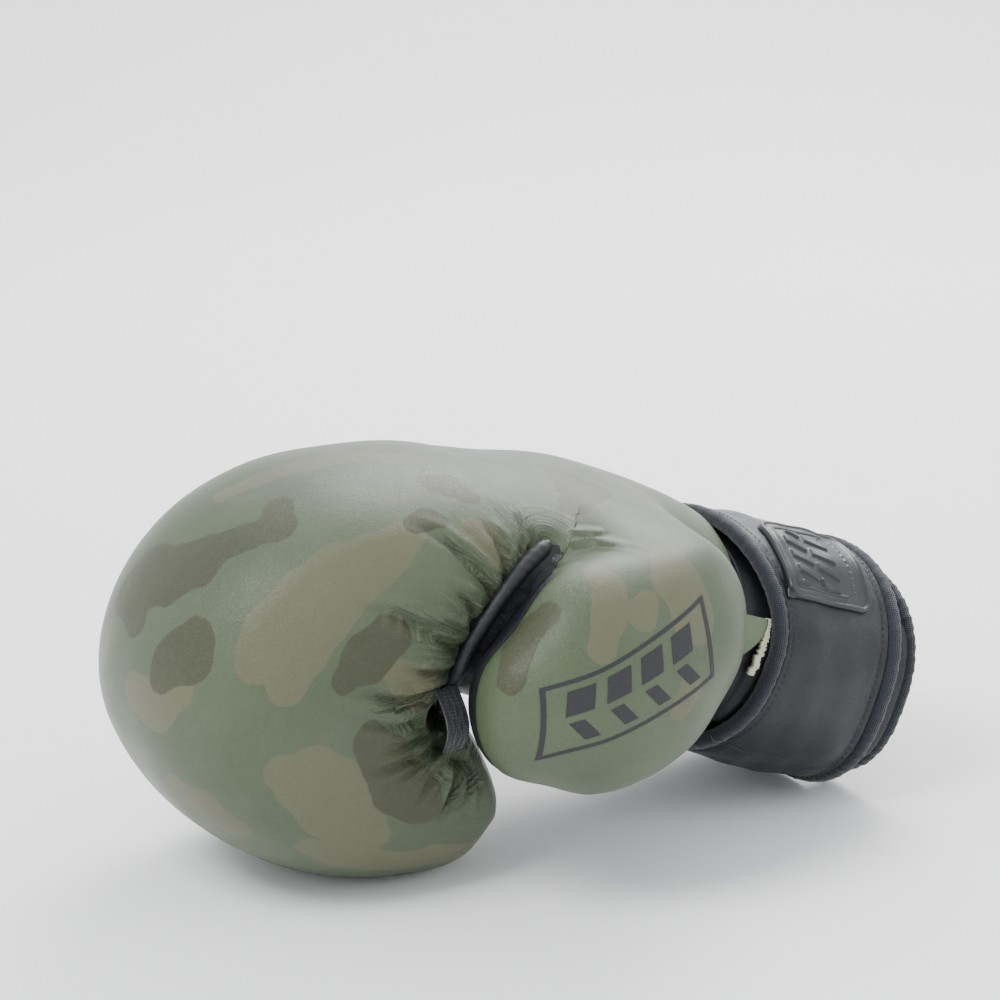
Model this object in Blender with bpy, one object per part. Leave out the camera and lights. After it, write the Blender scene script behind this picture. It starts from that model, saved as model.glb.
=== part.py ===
"""A padded boxing glove with an attached thumb and a wrap-round wrist strap.

The glove rests on its curled fingers and on the end of its cuff.  +X runs from the knuckles to
the cuff, +Z is up, and the thumb is on the -Y side.  Sizes are in millimetres; MM makes metres.

The hand is a tube of sections: straight ones along the tilted hand axis, then a fan of sections
that turns about the finger crease, then a dome that closes the fingertips.  Each layer of the
hand lies between the same two skins, the outer one and that of the hand's cavity.
"""

import math

import bmesh
import bpy
from mathutils import Matrix, Vector

MM = 0.001
ORIGIN = Vector((9.8, -22.2, 0))  # under the middle of the whole glove
GAP = 0.35  # between two pieces that lie on each other
PAD_GAP = 1.0  # between a pad and the leather or lining that holds it

# Layers, from the outside in
LEATHER = 1.4
LINING = 1.2
CUFF_WALL = 7.4

# Hand axis: from the wrist seam forward, tilted so that the cuff comes down to the table
WRIST_X, WRIST_Z = 74.5, 65.0
AXIS_TILT = 20.1
HAND_LENGTH = 110.0  # wrist seam to finger crease
CREASE_DEPTH = 42.5  # the crease lies this far on the palm side of the axis
CREASE_RADIUS = 4.0
FIST_TURN = 224.0  # how far the fingers curl round the crease, in degrees

# Outer skin of the hand: (distance forward of the wrist seam, size) and (degrees of curl, size)
PALM_DEPTH = [(0, 36.5), (8, 40.5), (30, 42), (70, 40.5), (110, 38.5)]
BACK_HEIGHT = [(0, 36.5), (8, 42), (30, 46), (55, 47.5), (70, 47), (90, 43), (110, 40)]
HAND_HALF_WIDTH = [(0, 43.5), (8, 49), (40, 53), (80, 58), (110, 60)]
FIST_RADIUS = [(0, 82.5), (25, 82), (48, 88.5), (70, 96), (90, 100), (108, 99), (127, 90.5),
               (147, 80.5), (168, 72.5), (190, 67.5), (210, 66.5), (224, 62)]
FIST_HALF_WIDTH = [(0, 60), (40, 62), (130, 61), (170, 58), (210, 54), (224, 50)]
FINGERTIP_DOME = 15.0
TURN_PAST_TIP = 12.0  # the hand's outline reaches this many degrees beyond the curl

# Cavity of the hand, measured in the same way
CAVITY_PALM = [(0, 27), (35, 34), (70, 33), (110, 30.5)]
CAVITY_BACK = [(0, 27), (35, 17), (70, 8), (110, -2.5)]
CAVITY_HALF_WIDTH = [(0, 36), (40, 41), (80, 43), (110, 42)]
CAVITY_INNER_RADIUS = 12.0
CAVITY_OUTER_RADIUS = [(0, 40), (90, 44), (224, 36)]
CAVITY_TURN_SHARE = 0.82
CAVITY_DOME = 8.0
SEAM_MARGIN = 0.25  # each leather panel stops this far from its seams
PAD_MARGIN = 1.5  # and each pad this far
PALM_PAD_MARGIN = 4.5
PALM_PAD_GAP = 1.6  # the palm pad lies further from the lining
FOAM_SPLIT = 0.5  # the knuckle foam is two layers, parted halfway through the padding

# Seams between the camouflage back panel and the palm panel, in degrees from the back
LITTLE_SIDE_SEAM = [(0, 128), (100, 130), (160, 120), (224, 84)]  # by degrees of curl
THUMB_SIDE_SEAM = [(0, 52), (50, 54), (70, 58), (84, 68), (96, 100), (110, 130)]
THUMB_SIDE_CURL_SEAM = [(0, 130), (20, 142), (120, 142), (175, 122), (224, 98)]

# Thumb: forward of the wrist seam along the table, with centre (y, z), half height, half
# depth, and the degrees by which its top leans towards the hand
THUMB_STATIONS = [(19, -63, 96, 18, 15, 24), (30, -68, 94.5, 26, 20, 24),
                  (46, -73, 90, 32, 24, 22), (66, -77, 82.5, 38, 26.5, 18),
                  (88, -79, 75, 36, 26, 10), (106, -78, 71.5, 25, 21, 2)]
THUMB_BASE_DOME = 8.0
THUMB_TIP_DOME = 16.0
THUMB_CLEARANCE = 1.2
THUMB_WALL = 7.0  # padding on the side that faces the hand
THUMB_CAVITY = [(19, 11, 7), (30, 15, 10), (66, 17, 13), (106, 11, 9)]
THUMB_HOLE_RADIUS = 14.0
THUMB_HOLE_FORWARD = 40.0
THUMB_HOLE_DROP = 3.0  # below the thumb's middle line
THUMB_HOLE_INTO_HAND = 22.0  # past the side of the hand's cavity
THUMB_HOLE_INTO_THUMB = 4.0  # short of the thumb's middle line

# Cuff and strap: distances are behind the wrist seam
CUFF_START = 1.2
CUFF_LENGTH = 73.0
CUFF_HALF_HEIGHT = [(-73, 37), (-35, 37), (0, 35.5)]
CUFF_HALF_WIDTH = [(-73, 46), (-35, 44.5), (0, 43)]
CUFF_SLIT = 28.0  # degrees left open on the palm side
STRAP_THICKNESS = 3.5
STRAP_FRONT = 4.0
STRAP_REAR = 61.0
STRAP_THUMB_CUTBACK = 13.0  # the front edge steps back round the thumb's root,
STRAP_CUTBACK_MIDDLE = 275.0  # most of all at these degrees round,
STRAP_CUTBACK_SPREAD = 52.0  # and over these degrees each way
LOOP_TAPE_SPAN = (-32.0, 72.0)  # degrees round the cuff
LOOP_TAPE_INSET = 6.0
HOOK_TAPE_START = 348.0
HOOK_TAPE_END_INSET = 3.0
HOOK_TAPE_INSET = 8.0
PATCH_SPAN = (303.0, 352.0)
PATCH_FRONT_INSET = 9.0
PATCH_REAR_INSET = 8.0
TAB_SPAN = (268.0, 288.0)
TAB_START = 1.5
TAB_LENGTH = 9.0
TAB_BULGE = 5.0
TAPE_THICKNESS = 1.2
PATCH_THICKNESS = 1.6
BINDING_RADIUS = 2.4
CUFF_BINDING_RADIUS = 3.0
PIPING_RADIUS = 2.4
PIPING_CLEARANCE = 0.85  # between the piping and the leather
THUMB_PIPING_RADIUS = 1.5
THUMB_PIPING_CLEARANCE = 0.6
THUMB_PIPING_STATIONS = 8  # of the thumb's sections, up to its tip
LOOP_WIDTH = 10.0
LOOP_SPAN = 20.0
LOOP_RISE = 4.0
LOOP_THICKNESS = 1.6
LOOP_FROM_CREASE = Vector((-6.6, -59, 1.1))
LOOP_ALONG = Vector((0.17, 0, -0.985))
LOOP_ACROSS = Vector((0.985, 0, 0.17))
GRIP_BAR_RADIUS = 6.5
GRIP_BAR_GAP = 0.75
GRIP_BAR_SPREAD = 46.0  # degrees each way from the middle of the palm

THUMB_PIVOT = Vector((56, -52, 90))

# The strap's way round the cuff, in degrees from the back of the hand towards the little finger
STRAP_START = 100.0
PALM_HINGE = 168.0
THUMB_HINGE = 286.0
STRAP_END = 396.0
HINGE_HALF_GAP = 3.0

BACK_POINTS = 13  # points across the pad of the back
PALM_POINTS = 8
ROUND = 20  # points round the cuff
BAND_STEP = 8.0  # degrees between the points of the strap and its tapes
THUMB_POINTS = 8  # points across each of the thumb's two panels
TUBE_SIDES = 8

LEATHER_CAMO = ("camo_leather", (0.17, 0.21, 0.13), 0.45)
LEATHER_BLACK = ("black_leather", (0.03, 0.03, 0.035), 0.5)
FOAM = ("foam", (0.75, 0.72, 0.6), 0.9)
FABRIC_BLACK = ("black_fabric", (0.02, 0.02, 0.022), 0.85)
WEBBING = ("webbing", (0.03, 0.03, 0.03), 0.8)
RUBBER = ("patch_rubber", (0.035, 0.035, 0.037), 0.4)


# ------------------------------------------------------------------ mesh helpers
def clear_scene():
    for old in list(bpy.data.objects):
        bpy.data.objects.remove(old)


def material(finish):
    name, colour, roughness = finish
    made = bpy.data.materials.get(name)
    if made is None:
        made = bpy.data.materials.new(name)
        made.use_nodes = True
        shader = made.node_tree.nodes["Principled BSDF"]
        shader.inputs["Base Color"].default_value = (*colour, 1)
        shader.inputs["Roughness"].default_value = roughness
    return made


def solid(name, points, faces, finish):
    """One closed object from points in millimetres; doubled points, as at a pole, are merged."""
    mesh = bpy.data.meshes.new(name)
    work = bmesh.new()
    corners = [work.verts.new((p - ORIGIN) * MM) for p in points]
    for face in faces:
        kept = list(dict.fromkeys(face))
        work.faces.new([corners[i] for i in kept])
    bmesh.ops.remove_doubles(work, verts=work.verts, dist=0.01 * MM)
    bmesh.ops.dissolve_degenerate(work, edges=work.edges, dist=0.001 * MM)
    if work.calc_volume(signed=True) < 0:
        bmesh.ops.reverse_faces(work, faces=work.faces)
    work.to_mesh(mesh)
    work.free()
    mesh.shade_smooth()
    mesh.materials.append(material(finish))
    made = bpy.data.objects.new(name, mesh)
    bpy.context.scene.collection.objects.link(made)
    return made


def walled(name, outer, inner, finish, closed_round=False, open_ends="both"):
    """A solid between two grids of points, outer[k][j] and inner[k][j].

    Every quad is parted along the same diagonal, so that layers lie on each other.  An end
    that isn't open is a pole, where all the points of a row are one.
    """
    rows, columns = len(outer), len(outer[0])
    points = [p for row in outer for p in row] + [p for row in inner for p in row]

    def at(side, k, j):
        return side * rows * columns + k * columns + j % columns

    faces = []
    steps = columns if closed_round else columns - 1
    for k in range(rows - 1):
        for j in range(steps):
            for side in (0, 1):
                here, beside = at(side, k, j), at(side, k, j + 1)
                after, diagonal = at(side, k + 1, j), at(side, k + 1, j + 1)
                halves = [(here, beside, diagonal), (here, diagonal, after)]
                faces += halves if side == 0 else [half[::-1] for half in halves]
        if not closed_round:
            last = columns - 1
            faces.append((at(0, k, 0), at(0, k + 1, 0), at(1, k + 1, 0), at(1, k, 0)))
            faces.append((at(0, k + 1, last), at(0, k, last), at(1, k, last), at(1, k + 1, last)))
    for k in {"both": [0, rows - 1], "first": [0], "none": []}[open_ends]:
        for j in range(steps):
            rim = (at(0, k, j + 1), at(0, k, j), at(1, k, j), at(1, k, j + 1))
            faces.append(rim if k == 0 else rim[::-1])
    return solid(name, points, faces, finish)


def swept(name, rings, finish):
    """A solid through a list of rings of points, with a flat cap at each end."""
    count = len(rings[0])
    points = [p for ring in rings for p in ring]
    faces = [tuple(reversed(range(count))), tuple(range(len(points) - count, len(points)))]
    for k in range(len(rings) - 1):
        for j in range(count):
            here, after = k * count, (k + 1) * count
            following = (j + 1) % count
            faces.append((here + j, here + following, after + following, after + j))
    return solid(name, points, faces, finish)


def tube(name, path, radius, finish, closed=False):
    """A round tube along a list of points, with its rings square to the path."""
    last = len(path) - 1
    rings = []
    across = None
    for k, point in enumerate(path):
        if closed:
            along = path[(k + 1) % len(path)] - path[k - 1]
        else:
            along = path[min(k + 1, last)] - path[max(k - 1, 0)]
        along.normalize()
        if across is None:
            across = along.orthogonal()
        across = (across - along * across.dot(along)).normalized()
        over = along.cross(across)
        turns = [2 * math.pi * j / TUBE_SIDES for j in range(TUBE_SIDES)]
        rings.append([point + radius * (math.cos(a) * across + math.sin(a) * over)
                      for a in turns])
    return swept(name, rings, finish)


def cut(target, cutter):
    boolean = target.modifiers.new("cut_" + cutter.name, "BOOLEAN")
    boolean.operation = "DIFFERENCE"
    boolean.object = cutter


def as_cutter(made):
    made.hide_render = True
    made.display_type = "WIRE"
    return made


def smooth(table, x):
    """The value at x of a smooth curve through the rows (x, value) of a table."""
    rows = sorted(table)
    if x <= rows[0][0]:
        return float(rows[0][1])
    if x >= rows[-1][0]:
        return float(rows[-1][1])
    i = max(k for k in range(len(rows) - 1) if rows[k][0] <= x)
    (x0, v0), (x1, v1) = rows[i], rows[i + 1]

    def slope(k):
        before, after = rows[max(k - 1, 0)], rows[min(k + 1, len(rows) - 1)]
        return (after[1] - before[1]) / (after[0] - before[0])

    width = x1 - x0
    t = (x - x0) / width
    return (v0 * (2 * t**3 - 3 * t**2 + 1) + v1 * (3 * t**2 - 2 * t**3)
            + width * slope(i) * (t**3 - 2 * t**2 + t) + width * slope(i + 1) * (t**3 - t**2))


def spread(first, last, count):
    return [first + (last - first) * k / (count - 1) for k in range(count)]


# ------------------------------------------------------------------ sections
SIDE = Vector((0, 1, 0))
TILT = math.radians(AXIS_TILT)
REARWARD = Vector((math.cos(TILT), 0, -math.sin(TILT)))
BACKWARD = Vector((math.sin(TILT), 0, math.cos(TILT)))  # from the palm to the back of the hand
WRIST = Vector((WRIST_X, 0, WRIST_Z))
CREASE = WRIST - HAND_LENGTH * REARWARD - CREASE_DEPTH * BACKWARD
LOOP_CENTRE = CREASE + LOOP_FROM_CREASE


class Section:
    """A rounded outline: a centre, a half axis to the back and a half axis to the side."""

    def __init__(self, centre, up, side, inner_power=2.8, outer_power=2.15):
        self.centre, self.up, self.side = centre, up, side
        self.inner_power, self.outer_power = inner_power, outer_power

    def at(self, degrees):
        c, s = math.cos(math.radians(degrees)), math.sin(math.radians(degrees))
        power = self.outer_power if c >= 0 else self.inner_power
        reach = math.copysign(abs(c) ** (2 / power), c)
        spread_out = math.copysign(abs(s) ** (2 / power), s)
        return self.centre + self.up * reach + self.side * spread_out

    def shrunk(self, moved, share):
        return Section(self.centre + moved, self.up * share, self.side * share,
                       self.inner_power, self.outer_power)


def axis_section(forward, palm, back, half_width):
    """A section square to the hand axis."""
    middle = WRIST - forward * REARWARD + BACKWARD * (back - palm) / 2
    return Section(middle, BACKWARD * (back + palm) / 2, SIDE * half_width)


def curl_direction(turn):
    return Vector((math.cos(math.pi / 2 - TILT + math.radians(turn)), 0,
                   math.sin(math.pi / 2 - TILT + math.radians(turn))))


def curl_section(turn, inner, outer, half_width):
    """A section that fans round the finger crease; its palm side is squarer."""
    squareness = min(turn / 60, 1)
    direction = curl_direction(turn)
    return Section(CREASE + direction * (inner + outer) / 2, direction * (outer - inner) / 2,
                   SIDE * half_width, 2.8 + 1.6 * squareness, 2.15)


def dome(section, forward, steps=(32, 62, 84, 90)):
    """Sections that close the end of a tube with a rounded cap."""
    for degrees in steps:
        a = math.radians(degrees)
        yield section.shrunk(forward * math.sin(a), math.cos(a))


def dome_push(turn, depth):
    """The way a dome bulges at the end of the curl: along the turn."""
    return curl_direction(turn + 90) * depth


HAND_STEPS = (0, 3, 8, 22, 40, 58, 76, 93)
CURL_STEPS = spread(0, FIST_TURN, 13)


def outer_hand():
    sections = [axis_section(s, smooth(PALM_DEPTH, s), smooth(BACK_HEIGHT, s),
                             smooth(HAND_HALF_WIDTH, s)) for s in HAND_STEPS]
    sections += [curl_section(turn, CREASE_RADIUS, smooth(FIST_RADIUS, turn),
                              smooth(FIST_HALF_WIDTH, turn)) for turn in CURL_STEPS]
    sections += dome(sections[-1], dome_push(FIST_TURN, FINGERTIP_DOME))
    return sections


def hand_cavity():
    sections = [axis_section(s, smooth(CAVITY_PALM, s), smooth(CAVITY_BACK, s),
                             smooth(CAVITY_HALF_WIDTH, s)) for s in HAND_STEPS]
    sections += [curl_section(turn * CAVITY_TURN_SHARE, CAVITY_INNER_RADIUS,
                              smooth(CAVITY_OUTER_RADIUS, turn), CAVITY_HALF_WIDTH[-1][1])
                 for turn in CURL_STEPS]
    sections += dome(sections[-1], dome_push(FIST_TURN * CAVITY_TURN_SHARE, CAVITY_DOME))
    return sections


class Layers:
    """Points at any depth between an outer skin and a cavity, at station k and an angle."""

    def __init__(self, outer, cavity, adjust=lambda point, depth: point):
        self.outer, self.cavity, self.adjust = outer, cavity, adjust

    def skin(self, k, degrees):
        point = self.outer[k].at(degrees)
        return self.adjust(Vector((point.x, point.y, max(point.z, 0))), 0)

    def hollow(self, k, degrees):
        return self.adjust(self.cavity[k].at(degrees), 1)

    def inward(self, k, degrees, surface):
        """The direction square to a surface that leads from the skin to the cavity."""
        toward = self.hollow(k, degrees) - self.skin(k, degrees)
        last = len(self.outer) - 1
        along = surface(min(k + 1, last), degrees) - surface(max(k - 1, 0), degrees)
        around = surface(k, degrees + 3) - surface(k, degrees - 3)
        square = along.cross(around)
        if square.length < 0.5:
            return toward.normalized()
        return square.normalized() * math.copysign(1, square.dot(toward))

    def below_skin(self, k, degrees, depth):
        return self.skin(k, degrees) + self.inward(k, degrees, self.skin) * depth

    def above_cavity(self, k, degrees, depth):
        return self.hollow(k, degrees) - self.inward(k, degrees, self.hollow) * depth

    def between(self, k, degrees, share, shift):
        skin, hollow = self.skin(k, degrees), self.hollow(k, degrees)
        return skin.lerp(hollow, share) + (hollow - skin).normalized() * shift

    def grid(self, place, angles, skip_first=0, skip_last=0):
        """place(k, degrees) at each station that isn't skipped, and at each of angles(k)."""
        stations = range(skip_first, len(self.outer) - skip_last)
        return [[place(k, a) for a in angles(k)] for k in stations]


HAND = Layers(outer_hand(), hand_cavity())


def curl_at(k):
    """The degrees of curl at station k; the fingertip dome counts as the end of the curl."""
    return CURL_STEPS[min(k - len(HAND_STEPS), len(CURL_STEPS) - 1)]


def thumb_seam(k):
    """Degrees from the back of the hand to the seam on the thumb side, at station k."""
    if k < len(HAND_STEPS):
        return smooth(THUMB_SIDE_SEAM, HAND_STEPS[k])
    return smooth(THUMB_SIDE_CURL_SEAM, curl_at(k))


def little_seam(k):
    return smooth(LITTLE_SIDE_SEAM, curl_at(k) if k >= len(HAND_STEPS) else 0)


def seam_margin(k, width):
    """The angle that leaves this width free beside a seam, in millimetres."""
    half_width = max(HAND.outer[k].up.length, 2)
    return math.degrees(width / half_width)


def back_pad(k):
    """Angles across the pad under the back panel."""
    edge = seam_margin(k, PAD_MARGIN)
    return spread(-thumb_seam(k) + edge, little_seam(k) - edge, BACK_POINTS)


def palm_pad(k):
    edge = seam_margin(k, PALM_PAD_MARGIN)
    return spread(little_seam(k) + edge, 360 - thumb_seam(k) - edge, PALM_POINTS)


def back_angles(k):
    """Angles across the back panel: its pad's, and its own two edges."""
    edge = seam_margin(k, SEAM_MARGIN)
    return [-thumb_seam(k) + edge] + back_pad(k) + [little_seam(k) - edge]


def palm_angles(k):
    edge = seam_margin(k, SEAM_MARGIN)
    return [little_seam(k) + edge] + palm_pad(k) + [360 - thumb_seam(k) - edge]


def full_round(k):
    return back_pad(k) + palm_pad(k)


def hand_layer(name, angles, outer_place, inner_place, finish):
    """A panel or pad of the hand, which stops just short of the pole at the fingertips."""
    walled(name, HAND.grid(outer_place, angles, skip_last=1),
           HAND.grid(inner_place, angles, skip_last=1), finish)


def build_hand():
    """Leather panels, two layers of knuckle foam, a palm pad and the lining."""
    skin = lambda k, a: HAND.below_skin(k, a, 0)
    leather = lambda k, a: HAND.below_skin(k, a, LEATHER)
    foam_top = lambda k, a: HAND.below_skin(k, a, LEATHER + PAD_GAP)
    foam_middle = lambda k, a: HAND.between(k, a, FOAM_SPLIT, -GAP / 2)
    foam_below = lambda k, a: HAND.between(k, a, FOAM_SPLIT, GAP / 2)
    foam_base = lambda k, a: HAND.above_cavity(k, a, LINING + PAD_GAP)
    palm_base = lambda k, a: HAND.above_cavity(k, a, LINING + PALM_PAD_GAP)
    lining_top = lambda k, a: HAND.above_cavity(k, a, LINING)
    hollow = lambda k, a: HAND.above_cavity(k, a, 0)
    hand_layer("back_panel", back_angles, skin, leather, LEATHER_CAMO)
    hand_layer("palm_panel", palm_angles, skin, leather, LEATHER_BLACK)
    hand_layer("knuckle_foam_outer", back_pad, foam_top, foam_middle, FOAM)
    hand_layer("knuckle_foam_inner", back_pad, foam_below, foam_base, FOAM)
    hand_layer("palm_foam", palm_pad, foam_top, palm_base, FOAM)
    walled("hand_lining", HAND.grid(lining_top, full_round), HAND.grid(hollow, full_round),
           FABRIC_BLACK, closed_round=True, open_ends="first")


PIPING_LIFT = -PIPING_RADIUS - PIPING_CLEARANCE
PIPING_STATIONS = range(HAND_STEPS.index(76), len(HAND_STEPS) + 3)


def thumb_side_piping():
    """The line of the piping on the thumb side, from the back of the hand to the crease."""
    return [HAND.below_skin(k, -thumb_seam(k), PIPING_LIFT) for k in PIPING_STATIONS]


def build_finger_piping():
    """The rolled edge of the finger panel, beside the thumb."""
    tube("finger_piping", thumb_side_piping(), PIPING_RADIUS, LEATHER_BLACK)


def build_grip_bar():
    """A stuffed roll across the palm, inside the curl of the fingers."""
    station = len(HAND_STEPS) - 1
    lift = -GRIP_BAR_RADIUS - GRIP_BAR_GAP
    path = [HAND.above_cavity(station, a, lift) for a in spread(180 - GRIP_BAR_SPREAD,
                                                                180 + GRIP_BAR_SPREAD, 7)]
    tube("grip_bar", path, GRIP_BAR_RADIUS, FABRIC_BLACK)


# ------------------------------------------------------------------ thumb
def hand_half_width(x, z):
    """Half the hand's width at a point of its side view, or 0 outside its outline."""
    point = Vector((x, 0, z))
    from_crease = point - CREASE
    forward = (WRIST - point).dot(REARWARD)
    if from_crease.dot(BACKWARD) > 0 and forward < HAND_LENGTH:
        section = axis_section(forward, smooth(PALM_DEPTH, forward),
                               smooth(BACK_HEIGHT, forward), smooth(HAND_HALF_WIDTH, forward))
    else:
        angle = math.degrees(math.atan2(from_crease.z, from_crease.x))
        turn = (angle - 90 + AXIS_TILT) % 360
        if turn > FIST_TURN + TURN_PAST_TIP:
            return 0.0
        section = curl_section(turn, CREASE_RADIUS, smooth(FIST_RADIUS, turn),
                               smooth(FIST_HALF_WIDTH, turn))
    reach = (point - section.centre).dot(section.up) / section.up.length_squared
    if abs(reach) >= 1:
        return 0.0
    power = section.outer_power if reach > 0 else section.inner_power
    return section.side.length * (1 - abs(reach) ** power) ** (1 / power)


def near_piping(x, z):
    """1 on the line of the finger piping in the side view, falling to 0 away from it."""
    path = [Vector((p.x, p.z)) for p in thumb_side_piping()]
    here = Vector((x, z))
    nearest = 1e9
    for start, end in zip(path, path[1:]):
        step = end - start
        t = min(max((here - start).dot(step) / step.length_squared, 0), 1)
        nearest = min(nearest, (here - start - step * t).length)
    return math.exp(-((nearest / (3.2 * PIPING_RADIUS)) ** 2))


def beside_hand(point, inward):
    """Keeps a point of the thumb clear of the hand; inward is 0 on its skin, 1 on its cavity."""
    room = THUMB_CLEARANCE + THUMB_WALL * inward
    room += 2.4 * PIPING_RADIUS * near_piping(point.x, point.z)
    limit = -(hand_half_width(point.x, point.z) + room)
    return Vector((point.x, min(point.y, limit), point.z))


def thumb_spine(forward):
    column = lambda i: [(row[0], row[i]) for row in THUMB_STATIONS]
    return Vector((WRIST_X - forward, smooth(column(1), forward), smooth(column(2), forward)))


def thumb_section(forward, half_height, half_depth):
    ahead, behind = thumb_spine(forward + 4), thumb_spine(forward - 4)
    along = (ahead - behind).normalized()
    lean = math.radians(smooth([(row[0], row[5]) for row in THUMB_STATIONS], forward))
    side = (SIDE * math.cos(lean) - Vector((0, 0, math.sin(lean)))).normalized()
    up = side.cross(along).normalized()
    if up.z < 0:
        up.negate()
    return Section(thumb_spine(forward), up * half_height, side * half_depth, 2.3, 2.3), along


THUMB_STEPS = (19, 27, 37, 50, 64, 78, 92, 106)


def thumb_skins():
    """Outer and cavity sections of the thumb, from its base dome to its tip."""
    column = lambda i: [(row[0], row[i]) for row in THUMB_STATIONS]
    outer, cavity = [], []
    for forward in THUMB_STEPS:
        section, along = thumb_section(forward, smooth(column(3), forward),
                                       smooth(column(4), forward))
        hollow, _ = thumb_section(forward,
                                  smooth([(r[0], r[1]) for r in THUMB_CAVITY], forward),
                                  smooth([(r[0], r[2]) for r in THUMB_CAVITY], forward))
        if forward == THUMB_STEPS[0]:
            back = -along
            outer += list(dome(section, back * THUMB_BASE_DOME))[::-1]
            cavity += list(dome(hollow, back * 2))[::-1]
        outer.append(section)
        cavity.append(hollow)
    outer += dome(section, along * THUMB_TIP_DOME)
    cavity += dome(hollow, along * 3)
    return outer, cavity


THUMB = Layers(*thumb_skins(), adjust=beside_hand)


def thumb_layer(name, angles, outer_place, inner_place, finish):
    """A panel or pad of the thumb, which stops just short of the poles at its two ends."""
    walled(name, THUMB.grid(outer_place, angles, 1, 1), THUMB.grid(inner_place, angles, 1, 1),
           finish)


def build_thumb():
    """Two leather panels, a pad under each, and the thumb's lining."""
    margin = lambda k: math.degrees(1.5 * SEAM_MARGIN / max(THUMB.outer[k].side.length, 1))
    outside = lambda k: spread(-180 + margin(k), -margin(k), THUMB_POINTS)
    inside = lambda k: spread(margin(k), 180 - margin(k), THUMB_POINTS)
    whole = lambda k: outside(k) + inside(k)
    skin = lambda k, a: THUMB.below_skin(k, a, 0)
    leather = lambda k, a: THUMB.below_skin(k, a, LEATHER)
    foam_top = lambda k, a: THUMB.below_skin(k, a, LEATHER + GAP)
    foam_base = lambda k, a: THUMB.above_cavity(k, a, LINING + GAP)
    lining_top = lambda k, a: THUMB.above_cavity(k, a, LINING)
    hollow = lambda k, a: THUMB.above_cavity(k, a, 0)
    thumb_layer("thumb_outer_panel", outside, skin, leather, LEATHER_CAMO)
    thumb_layer("thumb_inner_panel", inside, skin, leather, LEATHER_BLACK)
    thumb_layer("thumb_outer_foam", outside, foam_top, foam_base, FOAM)
    thumb_layer("thumb_inner_foam", inside, foam_top, foam_base, FOAM)
    walled("thumb_lining", THUMB.grid(lining_top, whole), THUMB.grid(hollow, whole),
           FABRIC_BLACK, closed_round=True, open_ends="none")


def build_thumb_piping():
    """The piped seam on the front edge of the thumb, between its two panels."""
    lift = THUMB_PIPING_RADIUS + THUMB_PIPING_CLEARANCE
    count = len(THUMB.outer)
    path = [THUMB.below_skin(k, 0, -lift)
            for k in range(count - 1 - THUMB_PIPING_STATIONS, count - 1)]
    tube("thumb_piping", path, THUMB_PIPING_RADIUS, LEATHER_BLACK)


def open_thumb_hole(pieces):
    """The hole that leads from the hand's cavity into the thumb's."""
    x = WRIST_X - THUMB_HOLE_FORWARD
    z = thumb_spine(THUMB_HOLE_FORWARD).z - THUMB_HOLE_DROP
    inner_end = -CAVITY_HALF_WIDTH[2][1] + THUMB_HOLE_INTO_HAND
    outer_end = thumb_spine(THUMB_HOLE_FORWARD).y + THUMB_HOLE_INTO_THUMB
    path = [Vector((x, y, z)) for y in spread(outer_end, inner_end, 2)]
    hole = as_cutter(tube("thumb_hole", path, THUMB_HOLE_RADIUS, FOAM))
    for name in pieces:
        cut(bpy.data.objects[name], hole)


# ------------------------------------------------------------------ cuff and strap
def cuff_point(behind, degrees, lift):
    """A point on the cuff's outer skin, moved outwards by lift."""
    s = -behind
    section = axis_section(s, smooth(CUFF_HALF_HEIGHT, s) + lift,
                           smooth(CUFF_HALF_HEIGHT, s) + lift, smooth(CUFF_HALF_WIDTH, s) + lift)
    return section.at(degrees)


def cuff_layer(name, lift_out, lift_in, finish):
    """A C-shaped tube that leaves the slit open on the palm side."""
    edge = 180 - CUFF_SLIT / 2
    angles = spread(-edge, edge, ROUND)
    stations = spread(CUFF_START, CUFF_LENGTH, 4)
    outer = [[cuff_point(s, a, lift_out) for a in angles] for s in stations]
    inner = [[cuff_point(s, a, lift_in) for a in angles] for s in stations]
    return walled(name, outer, inner, finish)


def build_cuff():
    cuff_layer("cuff_shell", 0, -LEATHER, LEATHER_BLACK)
    inner = -CUFF_WALL + LINING
    cuff_layer("cuff_foam", -LEATHER - GAP, inner + GAP, FOAM)
    cuff_layer("cuff_lining", inner, inner - LINING, FABRIC_BLACK)
    middle = -CUFF_WALL / 2
    edge = 180 - CUFF_SLIT / 2
    behind = CUFF_LENGTH + GAP + CUFF_BINDING_RADIUS
    path = [cuff_point(behind, a, middle) for a in spread(-edge, edge, ROUND + 4)]
    tube("cuff_binding", path, CUFF_BINDING_RADIUS, FABRIC_BLACK)


def strap_edge_front(degrees):
    """The strap's front edge is cut back where it passes the root of the thumb."""
    off = (degrees - STRAP_CUTBACK_MIDDLE + 180) % 360 - 180
    return STRAP_FRONT + STRAP_THUMB_CUTBACK * math.exp(-((off / STRAP_CUTBACK_SPREAD) ** 2))


STRAP_LIFT = 2 * TAPE_THICKNESS + 3 * GAP
STRAP_MIDDLE = STRAP_LIFT + STRAP_THICKNESS / 2
STRAP_OUTSIDE = STRAP_MIDDLE + BINDING_RADIUS  # the strap's lengths fold outwards about here


def band_angles(first, last):
    """The two ends and the shared steps between them, so that bands lie on each other."""
    count = math.ceil(last / BAND_STEP)
    steps = [k * BAND_STEP for k in range(-count, count + 1)]
    return [first] + [a for a in steps if first + 1.5 < a < last - 1.5] + [last]


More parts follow.
